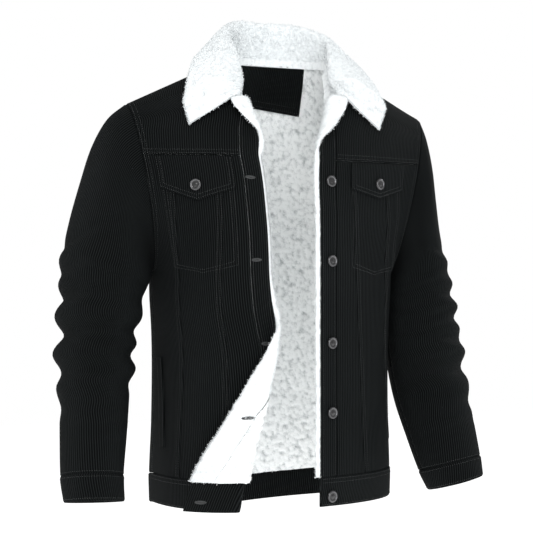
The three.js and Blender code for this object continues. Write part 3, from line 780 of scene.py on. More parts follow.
class Shader:
    """A material with its main shader, and ways to add nodes to it."""

    def __init__(self, name, **settings):
        self.material = bpy.data.materials.new(name)
        self.material.use_nodes = True
        self.tree = self.material.node_tree
        self.main = next(n for n in self.tree.nodes if n.type == "BSDF_PRINCIPLED")
        for socket, value in settings.items():
            self.main.inputs[socket.replace("_", " ")].default_value = value

    def node(self, kind, settings, values):
        node = self.tree.nodes.new(kind)
        for key, value in settings.items():
            setattr(node, key, value)
        for key, value in values.items():
            self.feed(node.inputs[key], value)
        return node

    def feed(self, socket, value):
        if isinstance(value, Value):
            value = value.socket
        if isinstance(value, bpy.types.NodeSocket):
            self.tree.links.new(value, socket)
        else:
            socket.default_value = value

    def value(self, socket):
        return Value(self, socket)

    def blend(self, share, low, high):
        """A colour between two others."""
        node = self.node("ShaderNodeMix", {"data_type": "RGBA"}, {"Factor": share})
        self.feed(node.inputs[6], (*low, 1) if isinstance(low, tuple) else low)
        self.feed(node.inputs[7], (*high, 1) if isinstance(high, tuple) else high)
        return node.outputs[2]

    def noise(self, vector, scale, detail=2.0, roughness=0.5):
        node = self.node("ShaderNodeTexNoise", {}, {
            "Vector": vector, "Scale": scale, "Detail": detail, "Roughness": roughness})
        return self.value(node.outputs["Fac"])

    def stretched(self, vector, scale):
        node = self.node("ShaderNodeVectorMath", {"operation": "MULTIPLY"}, {0: vector, 1: scale})
        return node.outputs[0]

    def bump(self, height, distance, strength=1.0):
        node = self.node("ShaderNodeBump", {}, {
            "Height": height, "Distance": distance, "Strength": strength})
        self.feed(self.main.inputs["Normal"], node.outputs[0])


def colour(value):
    return tuple(value)[:3]


def corduroy_material(sizes):
    """Black corduroy: upright wales with a nap, with painted shade in the furrows and a painted sheen on
    the wales' tops.
    """
    shader = Shader("wale_cloth", Roughness=0.86, Sheen_Weight=0.014, Sheen_Roughness=0.45,
                    Specular_IOR_Level=0.06)
    shader.main.inputs["Sheen Tint"].default_value = (0.75, 0.86, 0.9, 1)
    cloth = shader.node("ShaderNodeUVMap", {"uv_map": "cloth"}, {}).outputs[0]
    across = shader.value(shader.node("ShaderNodeSeparateXYZ", {}, {0: cloth}).outputs[0])
    body = shader.node("ShaderNodeTexCoord", {}, {}).outputs["Object"]
    wander = shader.noise(shader.stretched(cloth, (9, 5, 1)), 1.0, 2.0)
    wale = 0.5 - 0.5 * ((across + wander * 0.0012) * (2 * math.pi / (sizes.wale * 0.001))).cosine()
    fibres = shader.noise(shader.stretched(cloth, (1500, 420, 1)), 1.0, 3.0, 0.65)
    patches = shader.noise(body, 7.0, 3.0, 0.55)
    # the wale profile paints shade into the furrows and sheen onto the wales' tops; fibres and patches
    # add random tone
    lit = (wale ** 1.6) * (0.4 + fibres * 0.8) * (0.55 + patches * 0.9)
    base = shader.blend(lit.clamped(), colour(sizes.valley), colour(sizes.ridge))
    shader.feed(shader.main.inputs["Base Color"], base)
    shader.feed(shader.main.inputs["Roughness"], (0.96 - wale * 0.16).clamped())
    shader.bump(wale ** 0.6 + fibres * 0.2, 0.0016, 1.0)
    return shader.material


def sherpa_material(name, pale, shade):
    """Curly pile, darker and a little warmer between its pebbles: painted shade in the hollows of the
    pile.
    """
    shader = Shader(name, Roughness=0.95, Sheen_Weight=0.1, Sheen_Roughness=0.6,
                    Specular_IOR_Level=0.1)
    pile = shader.value(shader.node("ShaderNodeAttribute", {"attribute_name": "pile"}, {})
                        .outputs["Fac"])
    body = shader.node("ShaderNodeTexCoord", {}, {}).outputs["Object"]
    curls = shader.noise(body, 620.0, 3.0, 0.6)
    patches = shader.noise(body, 18.0, 2.0, 0.5)
    # low pile and the curls' noise darken the colour towards shade, as painted shade in the hollows;
    # patches add random tone
    share = (pile * 1.5 + curls * 1.3 + patches * 0.2 - 0.92).clamped()
    shader.feed(shader.main.inputs["Base Color"], shader.blend(share, shade, pale))
    shader.bump(curls + pile * 0.4, 0.0012, 0.7)
    return shader.material


def thread_material(name, shown):
    shader = Shader(name, Roughness=0.6, Sheen_Weight=0.2)
    body = shader.node("ShaderNodeTexCoord", {}, {}).outputs["Object"]
    strands = shader.noise(body, 2400.0, 2.0)
    shader.feed(shader.main.inputs["Base Color"],
                shader.blend(strands, tuple(0.6 * c for c in shown), shown))
    shader.bump(strands, 0.0002, 0.6)
    return shader.material


def button_material(name, shown, roughness, metal):
    """Polished black with faint scuffs."""
    shader = Shader(name, Metallic=metal, Coat_Weight=0.5, Coat_Roughness=0.08)
    body = shader.node("ShaderNodeTexCoord", {}, {}).outputs["Object"]
    scuffs = shader.noise(shader.stretched(body, (900, 900, 2600)), 1.0, 3.0, 0.7)
    shader.feed(shader.main.inputs["Base Color"],
                shader.blend(scuffs, tuple(0.75 * c for c in shown), shown))
    shader.feed(shader.main.inputs["Roughness"], (scuffs * 0.14 + roughness).clamped())
    shader.bump(scuffs, 0.0001, 0.3)
    return shader.material


def finish(name):
    """A material of this jacket, made the first time that it is asked for."""
    if name in bpy.data.materials:
        return bpy.data.materials[name]
    sizes = bpy.context.scene.jacket_sizes
    makers = {
        "wale_cloth": lambda: corduroy_material(sizes),
        # the lining's pale colour is brighter than the collar's, as painted light for its place in the
        # jacket's shade, and its shade colour is darker for deeper painted shade between pebbles
        "collar_pile": lambda: sherpa_material(name, colour(sizes.sherpa), (0.6, 0.625, 0.64)),
        "lining_pile": lambda: sherpa_material(name, (0.96, 0.98, 0.98), (0.36, 0.39, 0.4)),
        "thread": lambda: thread_material(name, (0.026, 0.03, 0.031)),
        # slit is near-black: painted shade in a buttonhole's opening
        "slit": lambda: thread_material(name, (0.008, 0.008, 0.009)),
        "button_black": lambda: button_material(name, (0.012, 0.012, 0.013), 0.2, 0.0),
        "button_ring": lambda: button_material(name, (0.11, 0.11, 0.115), 0.22, 0.7),
    }
    return makers[name]()


# Pieces

NEAR = (0.7, 1.5, 2.8)  # closer columns beside a seam, in millimetres


def seam_roll(*distances):
    """How far the cloth turns in beside its seams, from the distance to each in millimetres."""
    return -sum(1.1 * np.exp(-(np.abs(d) / 1.5) ** 2) for d in distances)


def panel(name, front, kind, low, high, outer, nodes, step=5.0):
    """A panel of the shell between two heights."""
    near = tuple(n / HEIGHT for n in NEAR)
    at = spaced(low + ROW_GAP, high - ROW_GAP, step / HEIGHT, near)
    start, end = PANELS[kind](front, at)
    width = float(np.mean(end - start))
    shares = spaced(0, 1, step / width, tuple(n / width for n in NEAR))
    cloth = mix(start[:, None], end[:, None], shares[None, :])
    heights = np.broadcast_to(at[:, None], cloth.shape)
    turn_in = seam_roll(cloth - start[:, None], end[:, None] - cloth,
                        (heights - low) * HEIGHT, (high - heights) * HEIGHT if high < 1 else 9)
    out = front.place(cloth, heights, outer + turn_in)
    inn = front.place(cloth, heights, -SHELL)
    uv = np.stack([cloth, heights * HEIGHT], axis=-1) / 1000
    obj = wall(name, out, inn, uv, finish("wale_cloth"), flip=front.side < 0)
    declare(nodes)
    return obj


def front_panels(side):
    front = FRONTS[side]
    panel(f"placket_{side}_cloth", front, "placket", BAND_TOP, NOTCH, 0.5, [f"placket_{side}"])
    for kind in ("front_inner", "front_middle", "front_side"):
        panel(f"{kind}_{side}_cloth", front, kind, BAND_TOP, YOKE, 0, [f"{kind}_{side}"])
    panel(f"front_yoke_{side}_cloth", front, "front_yoke", YOKE, 1, 0, [f"front_yoke_{side}"])


def row_uv(points, at, origin_column):
    """Places on the cloth: the length along each row from one column, and the height."""
    steps = np.linalg.norm(np.diff(points, axis=1), axis=2)
    along = np.concatenate([np.zeros((len(points), 1)), np.cumsum(steps, axis=1)], axis=1)
    along -= along[:, origin_column:origin_column + 1]
    return np.stack([along, np.broadcast_to(at[:, None] * HEIGHT, along.shape)], axis=-1) / 1000


def back_piece():
    at = spaced(BAND_TOP + ROW_GAP, 1 - ROW_GAP, 5 / HEIGHT, tuple(n / HEIGHT for n in NEAR))
    half = spaced(0, 0.9993, 0.018, (0.0035, 0.007, 0.013))[0:]
    t = np.concatenate([-half[:0:-1], half])
    places, heights = np.meshgrid(t, at)
    turn_in = seam_roll((1 - np.abs(places)) * 262, (heights - BAND_TOP) * HEIGHT)
    out = BACK.place(places, heights, turn_in)
    inn = BACK.place(places, heights, -SHELL)
    uv = row_uv(out, at, len(half) - 1)
    obj = wall("back_cloth", out, inn, uv, finish("wale_cloth"))
    declare(["back"],
            area=cloth_area(out))


def band_rows(out, at):
    """The waistband's points from the right front's edge round the back to the left's."""
    right, left = FRONTS["right"], FRONTS["left"]
    rows = []
    for height in at:
        widths = [float(f.width(height)[0]) for f in (right, left)]
        spots = [
            (right, np.linspace(0, 112, 50)),
            (right, np.linspace(112, widths[0], 26)[1:-1]),
            (BACK, np.linspace(-1, 1, 90)),
            (left, np.linspace(widths[1], 0, 50)[1:]),
        ]
        rows.append(np.concatenate([s.place(c, np.full_like(c, height), out) for s, c in spots]))
    return np.stack(rows)


def waistband():
    at = spaced(ROW_GAP, BAND_TOP - ROW_GAP, 5 / HEIGHT, tuple(n / HEIGHT for n in NEAR))
    middle = band_rows(0, at)
    ways = band_rows(1, at) - middle
    distance = np.minimum(at, BAND_TOP - at) * HEIGHT
    out = middle + ways * (BAND_OUT + seam_roll(distance))[:, None, None]
    inn = middle + ways * (BAND_OUT - BAND_WALL + 0.5 * np.exp(-distance / 1.5))[:, None, None]
    uv = row_uv(out, at, 0)
    obj = wall("waistband_cloth", out, inn, uv, finish("wale_cloth"), flip=True)
    declare(["waistband"], area=cloth_area(out))


def sleeve(side):
    surface = SLEEVES[side]
    at = np.concatenate([spaced(0.0, CUFF_TOP - ROW_GAP, 0.0075, (0.0015, 0.003, 0.005))])
    turns = np.linspace(-180, 180, 97)[:-1]
    places, heights = np.meshgrid(turns, at)
    seam = np.abs(np.abs(places) - 180) * 1.1
    out = surface.place(places, heights, seam_roll(seam, (CUFF_TOP - heights) * 620,
                                                    heights * 620))
    inn = surface.place(places, heights, -SHELL)
    # the seam allowance lies under the edge of the armhole
    tuck = np.array([[-5.0 * surface.side, 0, 0]])
    under = surface.place(places[:1], heights[:1] + 0.004, -3.2) + tuck
    out = np.concatenate([under, surface.place(places[:1], heights[:1], -2.2), out])
    inn = np.concatenate([under - surface.normal(places[0], heights[0] + 0.004)[None] * 0.6,
                          surface.place(places[:1], heights[:1], -3.4), inn])
    at = np.concatenate([[-0.008, -0.002], at])
    ring = np.concatenate([out, out[:, :1]], axis=1)
    uv = row_uv(ring, at, 48)
    obj = wall(f"sleeve_{side}_cloth", out, inn, uv, finish("wale_cloth"), closed=True,
               flip=surface.side < 0)
    nodes = [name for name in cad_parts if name.startswith("sleeve") and name.endswith(side)]
    declare(nodes, area=cloth_area(ring))

    at = spaced(CUFF_TOP + ROW_GAP, 1, 0.008, (0.0015, 0.003))
    places, heights = np.meshgrid(turns, at)
    away = np.minimum(heights - CUFF_TOP, 1 - heights) * 400
    out = surface.place(places, heights, BAND_OUT + seam_roll(away))
    inn = surface.place(places, heights, BAND_OUT - BAND_WALL + 0.5 * np.exp(-away / 1.5))
    ring = np.concatenate([out, out[:, :1]], axis=1)
    obj = wall(f"cuff_{side}_cloth", out, inn, row_uv(ring, at, 48), finish("wale_cloth"),
               closed=True, flip=surface.side < 0)
    declare([f"cuff_{side}"], area=cloth_area(ring))


def lining_front(side, pile_step):
    """The lining of a front, as one sheet of pile from the facing to the side seam."""
    front = FRONTS[side]
    at = np.linspace(BAND_TOP + ROW_GAP, 1 - ROW_GAP, int(600 / pile_step))
    start = np.where(at > NOTCH, front.fold(at), PLACKET)
    end = outermost(front, at) - 1
    shares = np.linspace(0, 1, int(215 / pile_step))
    cloth = mix(start[:, None], end[:, None], shares[None, :])
    points = front.place(cloth, np.broadcast_to(at[:, None], cloth.shape), LINING_IN)
    points, normals, height = with_pile(points, -front.side, 4.2)
    obj = sheet(f"lining_{side}_pile", points, finish("lining_pile"), {"pile": height},
                flip=front.side > 0)
    declare([f"lining_{side}"])
    tufts(f"lining_{side}_locks", points, normals, 9000, 2.8, 11, finish("lining_pile"))


def lining_back(pile_step):
    at = np.linspace(BAND_TOP + ROW_GAP, 1 - ROW_GAP, int(640 / pile_step))
    t = np.linspace(-0.996, 0.996, int(500 / pile_step))
    places, heights = np.meshgrid(t, at)
    points = BACK.place(places, heights, LINING_IN)
    points, normals, height = with_pile(points, 1, 4.2)
    obj = sheet("lining_back_pile", points, finish("lining_pile"), {"pile": height}, flip=True)
    declare(["lining_back"],
            area=cloth_area(BACK.place(places[::8, ::8], heights[::8, ::8], LINING_IN)))
    tufts("lining_back_locks", points, normals, 16000, 2.8, 12, finish("lining_pile"))


def facing(side, pile_step):
    """The sherpa facing inside a front edge, wrapped a little past it."""
    front = FRONTS[side]
    at = np.linspace(BAND_TOP + ROW_GAP, NOTCH - ROW_GAP, int(540 / pile_step))
    around = np.linspace(-1, 1, 31)
    # the strip runs along the inside, round the front edge and back along its hidden side
    cloth, out = [], []
    for share in around:
        if share < 0:
            cloth.append(mix(PLACKET - SEAM, -PROUD, 1 + share))
            out.append(LINING_IN + 0.4)
        else:
            cloth.append(mix(-PROUD, PLACKET - SEAM, share))
            out.append(LINING_OUT - 0.2)
    cloth, out = np.array(cloth), np.array(out)
    edge = np.abs(around) < 0.06
    cloth[edge] = -PROUD - 1.6
    out[edge] = (LINING_IN + LINING_OUT) / 2
    cloths, heights = np.meshgrid(cloth, at)
    points = front.place(cloths, heights, np.broadcast_to(out, cloths.shape))
    normals = grid_normals(points) * front.side
    height = pile_height(points)
    shown = np.broadcast_to(around < 0.08, height.shape)
    points = points + normals * np.where(shown, (height - 0.45) * 2.6, 0)[..., None]
    rows, columns = points.shape[:2]
    index = np.arange(rows * columns).reshape(rows, columns)
    faces = np.concatenate([quads(rows, columns), strip(index[:, 0], index[:, -1])])
    faces = [list(f) for f in (faces if front.side > 0 else faces[:, ::-1])]
    ends = [list(index[0][::-1]), list(index[-1])]
    faces += ends if front.side > 0 else [e[::-1] for e in ends]
    obj = make_object(f"facing_{side}_pile", points.reshape(-1, 3), faces, finish("collar_pile"),
                      None, {"pile": height})
    declare([f"facing_{side}"])
    keep = around < 0.08
    tufts(f"facing_{side}_locks", points[:, keep], normals[:, keep], 9000, 3.0, 13,
          finish("collar_pile"))


def neckline(side, share):
    """The middle of the collar's base at a share of the way round from the nape, and up there."""
    front = FRONTS["left" if side > 0 else "right"]
    if share <= 0.5:
        at = np.array([1 - ROW_GAP])
        t = np.array([side * NECK_SHARE * share / 0.5])
        return BACK.place(t, at, COLLAR_GAP)[0], BACK.normal(t, at)[0]
    at = np.array([mix(1 - ROW_GAP, NOTCH, (share - 0.5) / 0.5)])
    fold = front.fold(at)
    return front.place(fold, at, COLLAR_GAP)[0], front.normal(fold, at)[0]


def collar_guides(side, share):
    front = FRONTS["left" if side > 0 else "right"]
    rows, tip = (LEFT_COLLAR, LEFT_TIP) if side > 0 else (RIGHT_COLLAR, RIGHT_TIP)
    last = rows["at"][-1]
    if share <= last:
        row = read(rows, share)
        return [np.array([side * row[f"{k}X"], row[f"{k}Y"], row[f"{k}Z"]])
                for k in ("top", "mid", "edge")]
    notch = front.place([3.0], [NOTCH + 0.004], LINING_IN / 2)[0]
    end = front.place([tip["cloth"]], [tip["at"]], COLLAR_LIFT)[0]
    guides = [notch, (notch + end) / 2, end]
    near = collar_guides(side, last)
    return [mix(a, b, (share - last) / (1 - last)) for a, b in zip(near, guides)]


def through(guides, shares):
    """Points on a smooth curve through guides, spaced by the distance between them."""
    guides = np.array(guides)
    knots = np.concatenate([[0], np.cumsum(np.sqrt(np.linalg.norm(np.diff(guides, axis=0), axis=1)))])
    columns = {"at": knots, **{k: guides[:, i] for i, k in enumerate("xyz")}}
    row = read(columns, np.interp(shares, np.linspace(0, 1, len(guides)), knots))
    return vectors(row["x"], row["y"], row["z"])


def collar(pile_step):
    """The sherpa collar: one sheet of pile that runs up the stand, over the top and down the fall
    on the side that shows, and back underneath."""
    lengths = np.linspace(-1, 1, int(560 / pile_step))
    shares = np.linspace(0, 1, int(150 / pile_step))
    middle, ups = [], []
    for length in lengths:
        side, share = (-1 if length < 0 else 1), abs(length)
        base, up = neckline(side, share)
        top, mid, edge = collar_guides(side, share)
        middle.append(through([base, mix(base, top, 0.55), top, mid, edge], shares))
        ups.append(up)
    middle, ups = np.array(middle), np.array(ups)
    # columns run down each section here, so rows of the grid are the sections
    across_sections = np.gradient(middle, axis=0)
    down_sections = np.gradient(middle, axis=1)
    ways = unit(np.cross(across_sections, down_sections))
    ways[:, 0] = unit(np.cross(across_sections[:, 0], ups))
    ways[:, 1] = unit(ways[:, 0] + ways[:, 1])
    shown_height = pile_height(middle + ways * COLLAR / 2)
    hidden_height = pile_height(middle - ways * COLLAR / 2)
    run = shares[None, :] * 150
    left = np.minimum(np.arange(len(lengths)), np.arange(len(lengths))[::-1])[:, None] * pile_step
    edge_near = np.minimum(150 - run, left + 0.01)
    round_off = np.sqrt(np.clip(edge_near / 6, 0.02, 1))  # the edges are rounded
    shown = middle + ways * (round_off * (COLLAR / 2 + (shown_height - 0.45) * 2.8))[..., None]
    hidden = middle - ways * (round_off * (COLLAR / 2 + (hidden_height - 0.45) * 2.0))[..., None]
    # the stand reaches down over the raw edges at the neck, on the side towards the neck
    drop = np.array([1, 0.8, 0.6, 0.4, 0.2])[None, :, None]
    skirt = middle[:, :1] - ups[:, None] * 13 * drop
    skirt_height = pile_height(skirt)
    reach = 4.4 + 3.6 * drop[..., 0] + (skirt_height - 0.45) * 2.2
    shown = np.concatenate([skirt + ways[:, :1] * reach[..., None], shown], axis=1)
    hidden = np.concatenate([skirt + ways[:, :1] * 2.2, hidden], axis=1)
    heights = np.concatenate([skirt_height, shown_height], axis=1)
    under = np.concatenate([skirt_height, hidden_height], axis=1)
    rows, columns = shown.shape[:2]
    count = rows * columns
    index = np.arange(count).reshape(rows, columns)
    faces = np.concatenate([
        quads(rows, columns), quads(rows, columns, count, False, True),
        strip(index[0] + count, index[0]), strip(index[-1], index[-1] + count),
        strip(index[:, 0], index[:, 0] + count), strip(index[:, -1] + count, index[:, -1])])
    obj = make_object("collar_pile", np.concatenate([shown.reshape(-1, 3), hidden.reshape(-1, 3)]),
                      faces[:, ::-1], finish("collar_pile"), None,
                      {"pile": np.concatenate([heights.ravel(), under.ravel()])})
    declare(["collar"], area=cloth_area(middle))
    first = drop.shape[1]
    tufts("collar_locks", shown[:, first:], ways, 24000, 3.2, 14, finish("collar_pile"))
    tufts("collar_under_locks", hidden[:, first:], -ways, 8000, 3.0, 15, finish("collar_pile"))
    # more of them round the edges, pointing outwards
    beyond = unit(middle[:, -1] - middle[:, -4])
    tufts("collar_edge_locks", middle[:, -2:], np.stack([beyond, beyond], axis=1), 6000, 3.4, 16,
          finish("collar_pile"))


def neck_patch():
    at = np.linspace(PATCH["start"], PATCH["end"], 18)
    half = PATCH["width"] / 2
    widest = row_width(row_curves(1, at, -1, vectors(0, *(read(SPINE, at)[k] for k in "yz")),
                                  np.zeros_like(at)))
    shares = np.linspace(-1, 1, 40)
    # the patch keeps its width, so its places are found from its points' distance from the middle
    t = np.linspace(0, 0.6, 121)
    rows = []
    for height in at:
        line = BACK.point(t, np.full_like(t, height))
        along = np.concatenate([[0], np.cumsum(np.linalg.norm(np.diff(line, axis=0), axis=1))])
        rows.append(np.sign(shares) * np.interp(np.abs(shares) * half, along, t))
    places = np.array(rows)
    heights = np.broadcast_to(at[:, None], places.shape)
    out = LINING_IN - PATCH["gap"] - 1.0
    near = np.minimum(half * (1 - np.abs(shares)), 20)[None, :]
    front = BACK.place(places, heights, out - SHELL - seam_roll(near) * 0.6)
    behind = BACK.place(places, heights, out)
    uv = np.stack([np.broadcast_to(shares * half, places.shape), heights * HEIGHT], axis=-1) / 1000
    obj = wall("neck_patch_cloth", front, behind, uv, finish("wale_cloth"), flip=True)
    declare(["neck_patch"])
    paths = []
    for inset in (3.0, 8.0):
        line = np.linspace(0, 1, 80)
        low = PATCH["start"] + inset / HEIGHT
        spread = np.interp(low, at, places[:, -1]) * (half - inset) / half
        paths.append((BACK, mix(-spread, spread, line), np.full_like(line, low), out - SHELL - 0.3))
    stitches("neck_patch_stitches", paths, 0.26)


def flap_places(side, inset=0.0, rows=26, columns=52):
    """Places of a flap, or of a line on it that keeps an inset from its sides and lower edge."""
    flap = FLAPS[side]
    u = np.linspace(0, 1, columns)
    lower = mix(flap["corner"], flap["tip"], 1 - np.abs(2 * u - 1))
    return flap, u, lower + inset / HEIGHT


def pocket(side):
    """A chest pocket's flap and the welt of the hand pocket below it."""
    front = FRONTS[side]
    flap, u, lower = flap_places(side)
    v = np.concatenate([[0, 0.03], np.linspace(0.08, 0.92, 16), [0.96, 0.985, 1]])
    cloth = np.broadcast_to(mix(flap["start"], flap["end"], u), (len(v), len(u)))
    at = mix(flap["top"], lower[None, :], v[:, None])
    to_side = np.minimum(u, 1 - u)[None, :] * 114
    to_foot = (at - lower[None, :]) * HEIGHT
    # the flap stands away from the front towards its foot
    out = 1.9 + 1.6 * v[:, None] + 0.8 * np.sin(u * math.pi)[None, :] * v[:, None]
    outer = front.place(cloth, at, out + seam_roll(to_side, to_foot) * 0.9)
    inner = front.place(cloth, at, out - 1.6)
    uv = np.stack([cloth, at * HEIGHT], axis=-1) / 1000
    obj = wall(f"flap_{side}_cloth", outer, inner, uv, finish("wale_cloth"), flip=front.side > 0)
    declare([f"flap_{side}"])
    paths = []
    for inset in (2.4, 7.6):
        span = 114
        share = np.linspace(inset / span, 1 - inset / span, 120)
        foot = mix(flap["corner"], flap["tip"], 1 - np.abs(2 * share - 1)) + inset * 1.04 / HEIGHT
        lift = 3.5 + 0.8 * np.sin(share * math.pi)
        paths.append((front, mix(flap["start"], flap["end"], share), foot, lift + 0.05))
        for end in (inset / span, 1 - inset / span):
            foot = mix(flap["corner"], flap["tip"], 1 - abs(2 * end - 1)) + inset / HEIGHT
            rise = np.linspace(foot, flap["top"] - 0.002, 40)
            away = (flap["top"] - rise) / (flap["top"] - foot)
            spot = np.full_like(rise, mix(flap["start"], flap["end"], end))
            paths.append((front, spot, rise, 1.95 + 1.6 * away))
    stitches(f"flap_{side}_stitches", paths)

    v = np.linspace(0, 1, 46)[:, None]
    u = np.concatenate([[0, 0.06], np.linspace(0.14, 0.86, 6), [0.94, 1]])[None, :]
    cloth = mix(WELT["lower"], WELT["upper"], v) + WELT["width"] * u
    at = np.broadcast_to(mix(WELT["start"], WELT["end"], v), cloth.shape)
    side_gap = np.minimum(u, 1 - u) * WELT["width"]
    foot_gap = np.minimum(v, 1 - v) * 130
    outer = front.place(cloth, at, 2.3 + seam_roll(side_gap, foot_gap) * 0.9)
    inner = front.place(cloth, at, 0.5)
    uv = np.stack([cloth, at * HEIGHT], axis=-1) / 1000
    obj = wall(f"welt_{side}_cloth", outer, inner, uv, finish("wale_cloth"), flip=front.side < 0)
    declare([f"welt_{side}"])
    line = np.linspace(0.02, 0.98, 80)
    paths = [(front, mix(WELT["lower"], WELT["upper"], line) + inset,
              mix(WELT["start"], WELT["end"], line), 2.35) for inset in (2.4, 15.6)]
    stitches(f"welt_{side}_stitches", paths)


def stitches(name, paths, half_width=0.3):
    """Rows of stitches along paths on surfaces, joined into one mesh."""
    sizes = bpy.context.scene.jacket_sizes
    points, faces, first = [], [], 0
    corners = np.array([(0, 4, 2), (0, 2, 5), (0, 5, 3), (0, 3, 4),
                        (1, 2, 4), (1, 5, 2), (1, 3, 5), (1, 4, 3)])
    for surface, a, b, out in paths:
        line = surface.place(a, b, out)
        ups = surface.normal(np.asarray(a, float), np.asarray(b, float))
        run = np.concatenate([[0], np.cumsum(np.linalg.norm(np.diff(line, axis=0), axis=1))])
        if run[-1] < 2 * sizes.stitch:
            continue
        count = int(run[-1] / sizes.stitch)
        middle = (np.arange(count) + 0.5) * run[-1] / count
        at = lambda s, what: np.stack([np.interp(s, run, what[:, k]) for k in range(3)], axis=-1)
        half = sizes.stitch * 0.36
        centre, up = at(middle, line), unit(at(middle, ups))
        start, end = at(middle - half, line), at(middle + half, line)
        across = unit(np.cross(end - start, up)) * half_width
        block = np.stack([start, end, centre + up * 0.32, centre - up * 0.15,
                          centre + across, centre - across], axis=1)
        points.append(block.reshape(-1, 3))
        blocks = (first + np.arange(count)[:, None, None] * 6 + corners[None]).reshape(-1, 3)
        faces += blocks.tolist()
        first += count * 6
    obj = make_object(name, np.concatenate(points), faces, finish("thread"))
    return obj


def seam_stitches(side):
    """Topstitching along the seams of a front and its armhole, and the pocket bag's outline."""
    front = FRONTS[side]
    up = np.linspace(BAND_TOP + 0.004, YOKE - 0.004, 260)
    edge = np.linspace(BAND_TOP + 0.004, NOTCH - 0.004, 300)
    lift = 0.25
    paths = [(front, np.full_like(edge, inset), edge, 0.5 + lift) for inset in (4.0, PLACKET - 3.5)]
    for seam, widths in ((INNER_SEAM, (2.4, 7.8)), (OUTER_SEAM, (2.4, 7.8))):
        paths += [(front, seam_at(seam, up) + width, up, lift) for width in widths]
    for above in (2.6, 8.0):
        at = YOKE + above / HEIGHT
        width = float(outermost(front, at)[0])
        line = np.linspace(PLACKET + 2, width - 3, 220)
        paths.append((front, line, np.full_like(line, at), lift))
    rise = np.linspace(UNDERARM + 0.006, 0.992, 260)
    for inset in (3.0, 8.5):
        paths.append((front, outermost(front, rise) - inset, rise, lift))
    low = np.linspace(BAND_TOP + 0.004, UNDERARM - 0.004, 220)
    paths.append((front, outermost(front, low) - 3.0, low, lift))
    flap = FLAPS[side]
    share = np.linspace(0, 1, 160)
    for inset in (0, 5.5):
        bag = mix(0.516, 0.496, 1 - np.abs(2 * share - 1)) + inset / HEIGHT
        spot = mix(flap["start"] + 4 + inset, flap["end"] - 4 - inset, share)
        paths.append((front, spot, bag, lift))
        for end in (flap["start"] + 4 + inset, flap["end"] - 4 - inset):
            wall_up = np.linspace(0.516 + inset / HEIGHT, flap["corner"] + 0.01, 90)
            paths.append((front, np.full_like(wall_up, end), wall_up, lift))
    stitches(f"front_{side}_stitches", paths)


def back_stitches():
    rise = np.linspace(UNDERARM + 0.006, 0.99, 240)
    paths = []
    for side in (-1, 1):
        for inset in (0.012, 0.033):
            paths.append((BACK, np.full_like(rise, side * (1 - inset)), rise, 0.25))
        low = np.linspace(BAND_TOP + 0.004, UNDERARM, 200)
        paths.append((BACK, np.full_like(low, side * 0.988), low, 0.25))
    stitches("back_stitches", paths)


def band_stitches():
    paths = []
    for at in (BAND_TOP - 2.6 / HEIGHT, BAND_TOP - 8 / HEIGHT, 3.0 / HEIGHT):
        for side in ("left", "right"):
            front = FRONTS[side]
            line = np.linspace(3, float(front.width(at)[0]) - 1, 220)
            paths.append((front, line, np.full_like(line, at), BAND_OUT + 0.25))
        line = np.linspace(-0.99, 0.99, 320)
        paths.append((BACK, line, np.full_like(line, at), BAND_OUT + 0.25))
    stitches("waistband_stitches", paths)


def sleeve_stitches(side):
    surface = SLEEVES[side]
    turns = np.linspace(-180, 180, 200)
    down = np.linspace(0.03, CUFF_TOP - 0.01, 260)
    paths = [(surface, turns, np.full_like(turns, at), out) for at, out in (
        (CUFF_TOP - 0.006, 0.2), (CUFF_TOP + 0.009, BAND_OUT + 0.2), (0.99, BAND_OUT + 0.2))]
    paths.append((surface, np.full_like(down, 176.5), down, 0.2))
    stitches(f"sleeve_{side}_stitches", paths)


def lathe(name, profile, count, materials, ring_from, ring_to):
    """A round body from its profile of radius and height, both ends on the axis."""
    turns = np.arange(count) * 2 * math.pi / count
    rings = profile[1:-1]
    points = [np.stack([r * np.cos(turns), r * np.sin(turns), np.full(count, h)], axis=1)
              for r, h in rings]
    points = np.concatenate(points + [np.array([[0, 0, profile[0][1]], [0, 0, profile[-1][1]]])])
    low, high = len(points) - 2, len(points) - 1
    top = (len(rings) - 1) * count
    faces = [list(map(int, f)) for f in quads(len(rings), count, 0, True)]
    faces += [[low, (k + 1) % count, k] for k in range(count)]
    faces += [[high, top + k, top + (k + 1) % count] for k in range(count)]
    mesh = bpy.data.meshes.new(name)
    mesh.from_pydata((points * 0.001).tolist(), [], faces)
    for material in materials:
        mesh.materials.append(material)
    for polygon in mesh.polygons:
        radius = math.hypot(*polygon.center[:2]) * 1000
        if ring_from < radius < ring_to and polygon.normal.z > 0.2:
            polygon.material_index = 1
    mesh.shade_smooth()
    return mesh


BUTTON = [(0, 0), (7.9, 0), (8.6, 0.5), (8.8, 1.3), (8.7, 2.2), (8.3, 2.9), (7.7, 3.4), (7.2, 3.65),
          (6.6, 3.6), (6.1, 3.2), (5.7, 2.75), (5.2, 2.5), (4.2, 2.4), (3.2, 2.5), (2.2, 2.85),
          (1.2, 3.05), (0, 3.1)]


def button_mesh():
    if "button" in bpy.data.meshes:
        return bpy.data.meshes["button"]
    return lathe("button", BUTTON, 48, [finish("button_black"), finish("button_ring")], 5.6, 7.6)


def add_button(name, front, cloth, at, out):
    cloth, at = np.array([cloth], float), np.array([at], float)
    obj = bpy.data.objects.new(f"{name}_polished", button_mesh().copy())
    obj.location = Vector(front.place(cloth, at, out)[0] * 0.001)
    way = Vector(front.normal(cloth, at)[0])
    obj.rotation_mode = "QUATERNION"
    obj.rotation_quaternion = way.to_track_quat("Z", "Y")
    bpy.context.scene.collection.objects.link(obj)
    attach(obj, "root")
    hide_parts(name)


